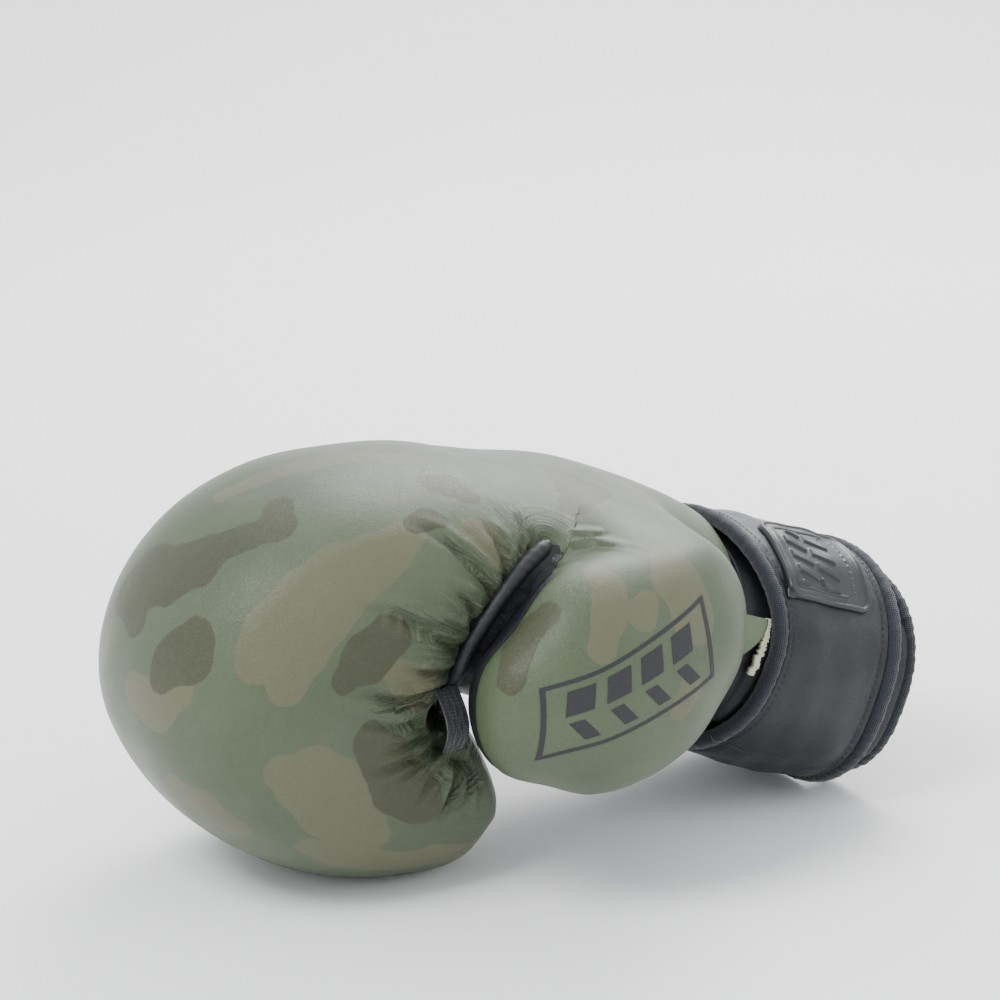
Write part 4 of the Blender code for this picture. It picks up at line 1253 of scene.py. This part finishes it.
def build_strap(leather, cloth, stitches, sewing):
    """The strap in two lengths, each with its bindings and its rows of stitches."""
    middle = STRAP_LIFT + STRAP_THICKNESS / 2
    palm, outer = [], []
    palm.append(strap_length("strap_palm_length", STRAP_START, STRAP_SPLIT, leather))
    outer.append(strap_length("strap_outer_length", STRAP_SPLIT, STRAP_END, leather))
    for front, edge in ((True, "front"), (False, "rear")):
        places = strap_edge_path(STRAP_START, STRAP_SPLIT, front, -PALM_BINDING_OUT)
        palm.append(binding(f"strap_palm_{edge}_binding", places, cloth, middle,
                            BINDING_WIDTH, BINDING_HEIGHT, 3))
    turn, straight_end = strap_end_turn()
    front_run = strap_edge_path(STRAP_SPLIT, straight_end, True, -BINDING_OUT)
    rear_run = strap_edge_path(STRAP_SPLIT, straight_end, False, -BINDING_OUT)
    outer.append(binding("strap_outer_binding", front_run[:-1] + turn + rear_run[::-1][1:],
                         cloth, middle, BINDING_WIDTH, BINDING_HEIGHT, 4))
    top = STRAP_LIFT + STRAP_THICKNESS
    rows = {"palm": [], "outer": []}
    for side, first, last in (("palm", STRAP_START + 1, STRAP_SPLIT),
                              ("outer", STRAP_SPLIT, STRAP_END - 16)):
        for front in (True, False):
            places = strap_edge_path(first, last, front, SEWN_INSET)
            path = [cuff_point(b, a, top + 0.05 + strap_wave(b, a) * 0.05)
                    for b, a in places]
            rows[side].append(stitch_row(f"row_{side}_{front}", path, stitches))
    palm.append(merged("strap_palm_stitches", rows["palm"], sewing))
    outer.append(merged("strap_outer_stitches", rows["outer"], sewing))
    return palm, outer


def band_patch(name, first, last, front, rear, lift, thickness, finish, slot_name,
               height=lambda u, v: 0.0, step=0.7):
    """A closed sheet on the cuff; height(u, v) raises its outer face, u and v in millimetres."""
    columns = max(4, round((rear - front) / step))
    per_degree = LABEL_MM_PER_DEGREE
    rows = max(4, round((last - first) * per_degree / step))
    points, uvs = [], []
    for k in range(rows + 1):
        a = first + (last - first) * k / rows
        behinds = [front + (rear - front) * j / columns for j in range(columns + 1)]
        for b in behinds:
            u, v = (a - first) * per_degree, b - front
            raised = thickness + height(u, v)
            points.append(cuff_point(b, a, lift + raised + strap_wave(b, a)
                                     * float(lift > STRAP_LIFT)))
            uvs.append((b * MM, a * per_degree * MM))
        for b in reversed(behinds):
            points.append(cuff_point(b, a, lift - 0.6))
            uvs.append((b * MM, a * per_degree * MM))
    faces = capped_faces(rows + 1, 2 * (columns + 1))
    return finished(name, points, faces, finish, slot_name, uvs)


PATCH_FIRST, PATCH_LAST, PATCH_FRONT, PATCH_REAR = 303.0, 352.0, 15.0, 52.0
PATCH_CORNER = 5.0
RIM_INSET, RIM_HEIGHT, RIM_SHARPNESS = 1.0, 0.7, 0.7
LINE_INSET, LINE_HEIGHT, LINE_SHARPNESS, LINE_END = 4.4, 0.5, 0.45, 27
BAR_PITCH, BAR_SLANT, BAR_HEIGHT = 6.6, 0.45, 0.75
BAR_GROOVE, BAR_GROOVE_HALF = 15.2, 0.9
STUD_ROW, STUD_REACH, STUD_PITCH, STUD_HEIGHT, STUD_SHARPNESS = 30.5, 1.4, 2.6, 0.45, 0.55


def patch_relief(u, v):
    """A raised rim, slanted bars and a row of studs: a plain label with no lettering."""
    long_side = (PATCH_LAST - PATCH_FIRST) * LABEL_MM_PER_DEGREE
    width = PATCH_REAR - PATCH_FRONT
    du, dv = min(u, long_side - u), min(v, width - v)
    corner = PATCH_CORNER
    edge = min(du, dv)
    if du < corner and dv < corner:
        edge = corner - math.hypot(corner - du, corner - dv)
    rim = RIM_HEIGHT * math.exp(-((edge - RIM_INSET) / RIM_SHARPNESS) ** 2)
    sunk = -1.3 * float(ease(0.35, -0.3, edge))
    inner = float(ease(4.0, 4.6, edge))
    frame_line = LINE_HEIGHT * math.exp(-((edge - LINE_INSET) / LINE_SHARPNESS) ** 2)
    frame_line *= float(v < LINE_END)
    slant = (u + BAR_SLANT * v) % BAR_PITCH
    bar = float(ease(0.2, 0.7, slant)) * float(ease(3.9, 3.4, slant))
    bar *= float(ease(6.4, 6.9, v)) * float(ease(24.4, 23.9, v)) * float(
        ease(5.4, 5.9, du))
    groove = 1 - float(abs(v - BAR_GROOVE) < BAR_GROOVE_HALF)
    stud = 0.0
    if abs(v - STUD_ROW) < STUD_REACH and du > 5:
        off = (u % STUD_PITCH) - STUD_PITCH / 2
        away = (off / STUD_SHARPNESS) ** 2 + ((v - STUD_ROW) / STUD_SHARPNESS) ** 2
        stud = STUD_HEIGHT * math.exp(-away)
    return rim + sunk + frame_line + BAR_HEIGHT * bar * groove * inner + stud


def cuff_sleeve(name, lift_out, lift_in, finish, slot_name, folds):
    """The C-shaped cuff, open on the palm side."""
    edge = 180 - CUFF_SLIT / 2
    angles = spread(-edge, edge, 180)
    stations = spread(0.4, CUFF_LENGTH, 70)
    points, uvs = [], []
    for a in angles:
        ring = [(s, lift_out + folds(s, a)) for s in stations]
        ring += [(s, lift_in) for s in reversed(stations)]
        for s, lift in ring:
            points.append(cuff_point(s, a, lift))
            uvs.append((s * MM, a * 0.0007))
    faces = capped_faces(len(angles), 2 * len(stations))
    return finished(name, points, faces, finish, slot_name, uvs)


def shell_folds(behind, degrees):
    """The heel panel's overlapping edge on the thumb side, and the leather's soft waves."""
    overlap = behind - (9.5 + 0.16 * (degrees + 96))
    on_thumb_side = float(ease(-140, -120, degrees)) * float(ease(-45, -62, degrees))
    step = 1.5 * float(ease(-0.5, 0.6, overlap)) * on_thumb_side
    sag = 0.5 * math.sin(degrees * 0.11 + behind * 0.2) + 0.3 * math.sin(behind * 0.5)
    return step + 0.5 * sag * float(ease(1, 6, behind)) * float(ease(30, 15, behind))


# ------------------------------------------------------------------ the pieces, put together
def split_skin(skin, finish):
    """The hand's leather and the thumb's leather, which move apart at the thumb's seam."""
    whole = skin.data
    whole_normals = normals(whole)
    layer = whole.attributes.new("whole_normal", "FLOAT_VECTOR", "POINT")
    layer.data.foreach_set("vector", whole_normals.ravel().astype(np.float32))
    made = []
    for name, wanted in (("hand_skin", 0), ("thumb_skin", 1)):
        work = bmesh.new()
        work.from_mesh(whole)
        side = work.verts.layers.float["thumb_side"]
        other = []
        for face in work.faces:
            on_thumb = sum(v[side] for v in face.verts) > 2
            if on_thumb != bool(wanted):
                other.append(face)
        bmesh.ops.delete(work, geom=other, context="FACES")
        mesh = bpy.data.meshes.new(name)
        work.to_mesh(mesh)
        work.free()
        kept = np.zeros(len(mesh.vertices) * 3, np.float32)
        mesh.attributes["whole_normal"].data.foreach_get("vector", kept)
        mesh.shade_smooth()
        mesh.normals_split_custom_set_from_vertices(kept.reshape(-1, 3).tolist())
        mesh.materials.append(finish)
        piece = bpy.data.objects.new(name, mesh)
        bpy.context.scene.collection.objects.link(piece)
        made.append(piece)
    drop(skin)
    return made


THUMBWARD = Vector((-0.25, -0.93, 0.25)).normalized()
STITCHES_BESIDE_ROLL = Vector((-3.2, -1.6, -2.2))
LABEL_CLEARANCE = 0.5
LOOP_CENTRE = Vector((-44.6, -59, 64))
LOOP_WIDTH, LOOP_SPAN, LOOP_HALF = 8.0, 24.0, 0.8  # the webbing is twice LOOP_HALF thick
LOOP_RISE, LOOP_ENDS_SUNK, LOOP_LEAN = 3.2, 3.0, 2.5
RIBS, RIB_HEIGHT = 4, 0.28
FRAYED_WIDTH = 2.2
LOOP_INSET, LOOP_LIFT = 6, 0.9  # from the strap's edges, and above the cuff
HOOK_INSET, HOOK_LIFT = 8, 2.1
THUMB_EDGE = [(8, -53, 116), (-2, -57.5, 112), (-12, -60.5, 107), (-20, -61.5, 100),
              (-26, -62, 94), (-30, -60.5, 88), (-33, -58.5, 83)]


def build_pipings(leather):
    line = smooth_path(piping_line(0.4) + [Vector((-45.5, -54, 66))], 0.6)
    roll = swept_roll("finger_piping_roll", line, oval(2.7, 2.7, 22), leather, "black_leather",
                      lambda p, k: THUMBWARD, taper=lambda t: (1.12 - 0.17 * float(ease(0, 0.5, t))) * (
                          0.25 + 0.75 * math.sqrt(float(ease(0, 0.07, t)))),
                      crumple=0.022, seed=8)
    edge = smooth_path(THUMB_EDGE, 0.6)
    thin = swept_roll("thumb_piping_roll", edge, oval(1.5, 1.5, 14), leather, "black_leather",
                      lambda p, k: THUMBWARD, crumple=0.03,
                      taper=lambda t: 0.3 + 0.7 * math.sqrt(float(ease(0, 0.08, t))), seed=9)
    return roll, thin, line, edge


def ruled_patch(name, first, second, finish, slot_name, sink, deep=3.0):
    """A closed slack sheet between two lines, sunk a little in its middle."""
    count, across = 40, 12
    points, uvs = [], []
    a_at = [first[round(i)] for i in np.linspace(0, len(first) - 1, count)]
    b_at = [second[round(i)] for i in np.linspace(0, len(second) - 1, count)]
    for k, (a, b) in enumerate(zip(a_at, b_at)):
        ring = [a.lerp(b, t) + THUMBWARD * -sink * math.sin(math.pi * t)
                for t in spread(0, 1, across)]
        ring += [p - THUMBWARD * deep for p in reversed(ring)]
        points += ring
        uvs += [(k * 0.001, j * 0.001) for j in range(2 * across)]
    faces = capped_faces(count, 2 * across)
    return finished(name, points, faces, finish, slot_name, uvs)


def webbing_loop(finish):
    """A short band of ribbed webbing over the crease between the fingers and the thumb."""
    along, across, out = Vector((0.17, 0, -0.985)), Vector((0.985, 0, 0.17)), Vector((0, -1, 0))
    points, uvs = [], []
    rows, columns = 60, 48
    for k in range(rows + 1):
        t = k / rows
        rise = math.sin(math.pi * t)
        arch = LOOP_RISE * rise - LOOP_ENDS_SUNK * (1 - rise) - LOOP_LEAN * t
        middle = LOOP_CENTRE + along * (t - 0.5) * LOOP_SPAN + out * arch
        ring = []
        for j in range(columns + 1):
            u = j / columns - 0.5
            rib = RIB_HEIGHT * math.cos(2 * math.pi * RIBS * u)
            rounding = math.exp(-(0.5 - abs(u)) / 0.02)
            ring.append(middle + across * u * LOOP_WIDTH + out * (LOOP_HALF + rib - rounding))
        for j in reversed(range(columns + 1)):
            u = j / columns - 0.5
            ring.append(middle + across * u * LOOP_WIDTH - out * LOOP_HALF)
        points += ring
        uvs += [(p.x * MM, p.z * MM) for p in ring]
    faces = capped_faces(rows + 1, 2 * (columns + 1))
    return finished("thumb_loop_band", points, faces, finish, "webbing", uvs)


def tail_of_leather(camo, pale_edge):
    """The thumb's tab: a tail of leather beside the cuff, and its pale frayed edge."""
    strips = []
    for name, front, rear, first, last, thick, finish, slot_name in (
            ("thumb_tab_leather", -4.5, 9.0, 267.0, 291.0, 1.6, camo, "camo_leather"),
            ("thumb_tab_edge", 8.6, 10.6, 266.5, 291.5, 1.3, pale_edge, "camo_leather")):
        pick = random.Random(4)
        fray = [pick.uniform(-0.5, 0.7) for _ in range(200)]
        points, uvs = [], []
        rows, columns = 60, 16
        for k in range(rows + 1):
            a = first + (last - first) * k / rows
            taper = math.sin(math.pi * min(1, 0.12 + 0.88 * k / rows * 1.1) / 2)
            end = front + (rear - front) * taper + (fray[k] if "edge" in name else 0)
            start = front if "edge" not in name else end - FRAYED_WIDTH
            ring = [(start + (end - start) * j / columns, 1.0 + thick) for j in
                    range(columns + 1)]
            ring += [(b, 0.2) for b, _ in reversed(ring)]
            for b, lift in ring:
                points.append(cuff_point(max(b, -4), a, lift + 1.5))
                uvs.append((b * MM, a * 0.0007))
        faces = capped_faces(rows + 1, 2 * (columns + 1))
        strips.append(finished(name, points, faces, finish, slot_name, uvs))
    return strips


def mark(name, corner, right, down, shapes, skin_tree, finish, lift=0.16):
    """Flat shapes in a plane, dropped onto the skin; each shape is a polygon in 0..1."""
    origin = Vector(corner)
    right, down = Vector(right) - origin, Vector(down) - origin
    way = right.cross(down).normalized()
    if way.y > 0:
        way.negate()
    work = bmesh.new()
    for shape in shapes:
        verts = [work.verts.new(((x - 0.5), (y - 0.5), 0)) for x, y in shape]
        work.faces.new(verts)
    bmesh.ops.triangulate(work, faces=work.faces)
    for _ in range(4):
        long_edges = [e for e in work.edges
                      if (right * (e.verts[0].co.x - e.verts[1].co.x)
                          + down * (e.verts[0].co.y - e.verts[1].co.y)).length > 1.6]
        if long_edges:
            bmesh.ops.subdivide_edges(work, edges=long_edges, cuts=1)
            bmesh.ops.triangulate(work, faces=work.faces)
    missed = []
    for vert in work.verts:
        place = origin + right * (vert.co.x + 0.5) + down * (vert.co.y + 0.5)
        start = Vector(to_row([place + way * 30])[0])
        hit, normal, _, _ = skin_tree.ray_cast(start, -way)
        if hit is None:
            missed.append(vert)
        else:
            vert.co = hit + normal * lift * MM
    bmesh.ops.delete(work, geom=missed, context="VERTS")
    mesh = bpy.data.meshes.new(name)
    work.to_mesh(mesh)
    work.free()
    mesh.materials.append(finish)
    mesh.shade_smooth()
    made = bpy.data.objects.new(name, mesh)
    bpy.context.scene.collection.objects.link(made)
    return made


def bar(x, y, wide, high, slant=0.0):
    return [(x, y), (x + wide, y), (x + wide - slant, y + high), (x - slant, y + high)]


def thumb_print():
    """A slanted frame round two rows of plain bars."""
    shapes = [bar(0.06, 0.0, 0.94, 0.05, 0), bar(0.0, 0.93, 0.94, 0.05, 0),
              bar(0.06, 0.0, 0.025, 0.97, 0.06), bar(0.975, 0.0, 0.025, 0.97, 0.06)]
    for k in range(4):
        shapes.append(bar(0.17 + 0.19 * k, 0.14, 0.13, 0.32, 0.03))
        shapes.append([(0.15 + 0.19 * k, 0.56), (0.22 + 0.19 * k, 0.56),
                       (0.28 + 0.19 * k, 0.84), (0.21 + 0.19 * k, 0.84)])
    return shapes


def ride_all(pieces, body):
    for piece in pieces:
        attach(piece, body)


def build_leather(camo):
    """The hand's and the thumb's leather over their pads; returns a tree of the whole skin."""
    skin, lobes = build_skin()
    shape_skin(skin, lobes)
    skin_tree = BVHTree.FromObject(skin, bpy.context.evaluated_depsgraph_get())
    hand_skin, thumb_skin = split_skin(skin, camo)
    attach(hand_skin, "hand")
    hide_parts("back_panel", "palm_panel", "knuckle_foam_outer", "palm_foam")
    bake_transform(thumb_skin, "hand", "thumb", start=(0.01, -0.036, 0.09), end=(0.01, -0.052, 0.09))
    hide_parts("thumb_outer_panel", "thumb_inner_panel", "thumb_outer_foam",
                "thumb_inner_foam")
    return skin_tree


def build_finger_edge(black, webbing, stitches, sewing):
    """The two rolled edges, the gusset between them, their stitches and the webbing loop."""
    roll, thin, line, edge = build_pipings(black)
    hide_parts("finger_piping")
    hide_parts("thumb_piping")
    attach(thin, "thumb")
    gusset = ruled_patch("thumb_gusset", line[2:60], edge[:-4], black, "black_leather", 2.0)
    beside = [p + STITCHES_BESIDE_ROLL for p in line[4:80]]
    row = stitch_row("piping_stitch_row", beside, stitches, 3.4, 1.7, 0.35)
    row = merged("piping_stitches", [row], sewing)
    loop = webbing_loop(webbing)
    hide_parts("thumb_loop")
    ride_all((roll, gusset, row, loop), "hand")


def build_tab():
    sage = black_leather("tab_leather", (0.075, 0.10, 0.058), 0.5)
    tab, tab_edge = tail_of_leather(sage, raw_edge())
    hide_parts("thumb_tab")
    ride_all((tab, tab_edge), "hand")


def build_cuff(black, cloth):
    """The cuff's leather and the bound rim of its opening."""
    shell = cuff_sleeve("cuff_leather", 0.2, -1.4, black, "black_leather", shell_folds)
    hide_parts("cuff_shell")
    rim_angles = spread(-180 + CUFF_SLIT / 2, 180 - CUFF_SLIT / 2, 240)
    rim_path = [cuff_point(CUFF_LENGTH + RIM_OUT, a, -RIM_DEPTH) for a in rim_angles]
    rim = swept_roll("cuff_rim_binding", rim_path, oval(3.4, 5.2, 22, 2.3), cloth,
                     "binding_fabric", lambda p, k: cuff_outward(CUFF_LENGTH, rim_angles[k]),
                     crumple=0.03, seed=12)
    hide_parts("cuff_binding")
    ride_all((shell, rim), "hand")


def build_print(skin_tree):
    ink = printed("print_black", (0.012, 0.013, 0.015))
    bars = mark("thumb_print", (-37, -97, 84), (33, -95, 106), (-34, -95, 60), thumb_print(),
                skin_tree, ink)
    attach(bars, "thumb")


def build_linings(black):
    """The linings and the grip bar, rounded, and the two pads that stay as they are."""
    lining = brushed_lining()
    for node, finish, slot_name, body in (
            ("hand_lining", lining, "lining_fabric", "hand"),
            ("grip_bar", black, "black_leather", "hand"),
            ("cuff_lining", lining, "lining_fabric", "hand"),
            ("thumb_lining", lining, "lining_fabric", "thumb")):
        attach(softened(node, finish, slot_name), body)
    padding = foam()
    for node in ("knuckle_foam_inner", "cuff_foam"):
        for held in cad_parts[node].material_slots:
            held.material = padding


def build_closure(cloth, stitches, sewing):
    """The strap, bent softly over its two folds, with its label and its two tapes."""
    leather = black_leather("strap_leather", (0.009, 0.0098, 0.0125), 0.36)
    palm, outer = build_strap(leather, cloth, stitches, sewing)
    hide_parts("strap_root")
    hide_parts("strap_root_front_binding")
    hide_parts("strap_root_rear_binding")
    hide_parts("strap_middle", "strap_end")
    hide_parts("strap_middle_front_binding", "strap_middle_rear_binding",
                "strap_end_front_binding", "strap_end_rear_binding")
    for piece in palm:
        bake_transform(piece, "hand", "strap_middle", start=(0.080, 0.045, 0.0127),
                 end=(0.080, 0.033, 0.0127))
    for piece in outer:
        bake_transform(piece, "strap_middle", "strap_end", start=(0.0978, -0.0279, 0.0608),
                 end=(0.1019, -0.0279, 0.0721))
    patch = band_patch("strap_label", PATCH_FIRST, PATCH_LAST, PATCH_FRONT, PATCH_REAR,
                       STRAP_LIFT + STRAP_THICKNESS + LABEL_CLEARANCE, 1.2, moulded_rubber(),
                       "patch_rubber", patch_relief, 0.3)
    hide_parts("strap_patch")
    pile = tape("loop_pile", (0.02, 0.02, 0.022), 1100, 0.0005)
    loops = band_patch("loop_pile_sheet", -32, 72, STRAP_FRONT + LOOP_INSET,
                       STRAP_REAR - LOOP_INSET, LOOP_LIFT, 1.0, pile, "loop_pile")
    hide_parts("loop_tape")
    hook = tape("hook_tape", (0.03, 0.03, 0.032), 900, 0.0004)
    hooks = band_patch("hook_sheet", 348, 393, STRAP_FRONT + HOOK_INSET,
                       STRAP_REAR - HOOK_INSET, HOOK_LIFT, 1.0, hook, "hook_tape")
    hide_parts("hook_tape")
    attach(loops, "hand")
    ride_all((patch, hooks), "strap_end")


def build_glove():
    black = black_leather()
    cloth = woven("binding_fabric", (0.013, 0.016, 0.021))
    webbing = woven("webbing", (0.014, 0.016, 0.019), 1700, 0.7)
    sewing = thread((0.014, 0.015, 0.018))
    stitches = stitch_tree(sewing)
    skin_tree = build_leather(camouflage())
    build_finger_edge(black, webbing, stitches, sewing)
    build_tab()
    build_cuff(black, cloth)
    build_print(skin_tree)
    build_linings(black)
    build_closure(cloth, stitches, sewing)


# ------------------------------------------------------------------ the studio
def plain(name, colour, roughness):
    made = Finish(name, roughness, specular=0.3)
    made.colour(made.mix(made.noise(4, 2), colour, tuple(c * 0.985 for c in colour)))
    return made.material


def build_studio():
    profile = [(-1.6, 0.0), (1.2, 0.0)]
    for t in spread(0, 90, 14):
        a = math.radians(t)
        profile.append((1.2 + 0.8 * math.sin(a), 0.8 - 0.8 * math.cos(a)))
    profile.append((2.0, 2.4))
    away = Vector((0.469, 0.883, 0))
    aside = Vector((0.883, -0.469, 0))
    points = [away * y + Vector((0, 0, z - 0.0003)) + aside * x for y, z in profile
              for x in (-2.4, 2.4)]
    mesh = bpy.data.meshes.new("studio_sweep")
    mesh.from_pydata(points, [], grid_faces(len(profile), 2))
    mesh.shade_smooth()
    mesh.materials.append(plain("studio_paper", (0.93, 0.93, 0.935), 0.85))
    sweep = bpy.data.objects.new("studio_sweep", mesh)
    bpy.context.scene.collection.objects.link(sweep)

    world = bpy.data.worlds.new("studio_air")
    world.use_nodes = True
    world.node_tree.nodes["Background"].inputs["Color"].default_value = (0.95, 0.97, 1.0, 1)
    world.node_tree.nodes["Background"].inputs["Strength"].default_value = 1.38
    bpy.context.scene.world = world
    target = Vector((0, 0, 0.07))
    for name, place, size, power in (("key", (-1.0, -0.2, 1.4), 0.7, 24),
                                     ("fill", (1.4, -0.9, 0.9), 0.8, 6),
                                     ("rim", (0.8, 0.9, 1.1), 0.8, 26)):
        lamp = bpy.data.lights.new(name, "AREA")
        lamp.energy, lamp.size = power, size
        held = bpy.data.objects.new(name, lamp)
        held.location = place
        held.rotation_euler = (target - Vector(place)).to_track_quat("-Z", "Y").to_euler()
        bpy.context.scene.collection.objects.link(held)


def build_camera():
    back = Vector((-0.451, -0.849, 0.276))
    right, up = Vector((0.883, -0.469, 0)), Vector((0.129, 0.243, 0.961))
    aim = Vector((-0.0098, 0.0022, 0.075)) + up * 0.0488 - right * 0.006
    data = bpy.data.cameras.new("studio_camera")
    data.lens, data.sensor_width = 128.25, 36
    held = bpy.data.objects.new("studio_camera", data)
    held.matrix_world = Matrix.Translation(aim + back * 1.25) @ Matrix(
        (right, up, back)).transposed().to_4x4()
    bpy.context.scene.collection.objects.link(held)
    bpy.context.scene.camera = held


build_glove()
build_studio()
build_camera()
bpy.context.view_layer.update()
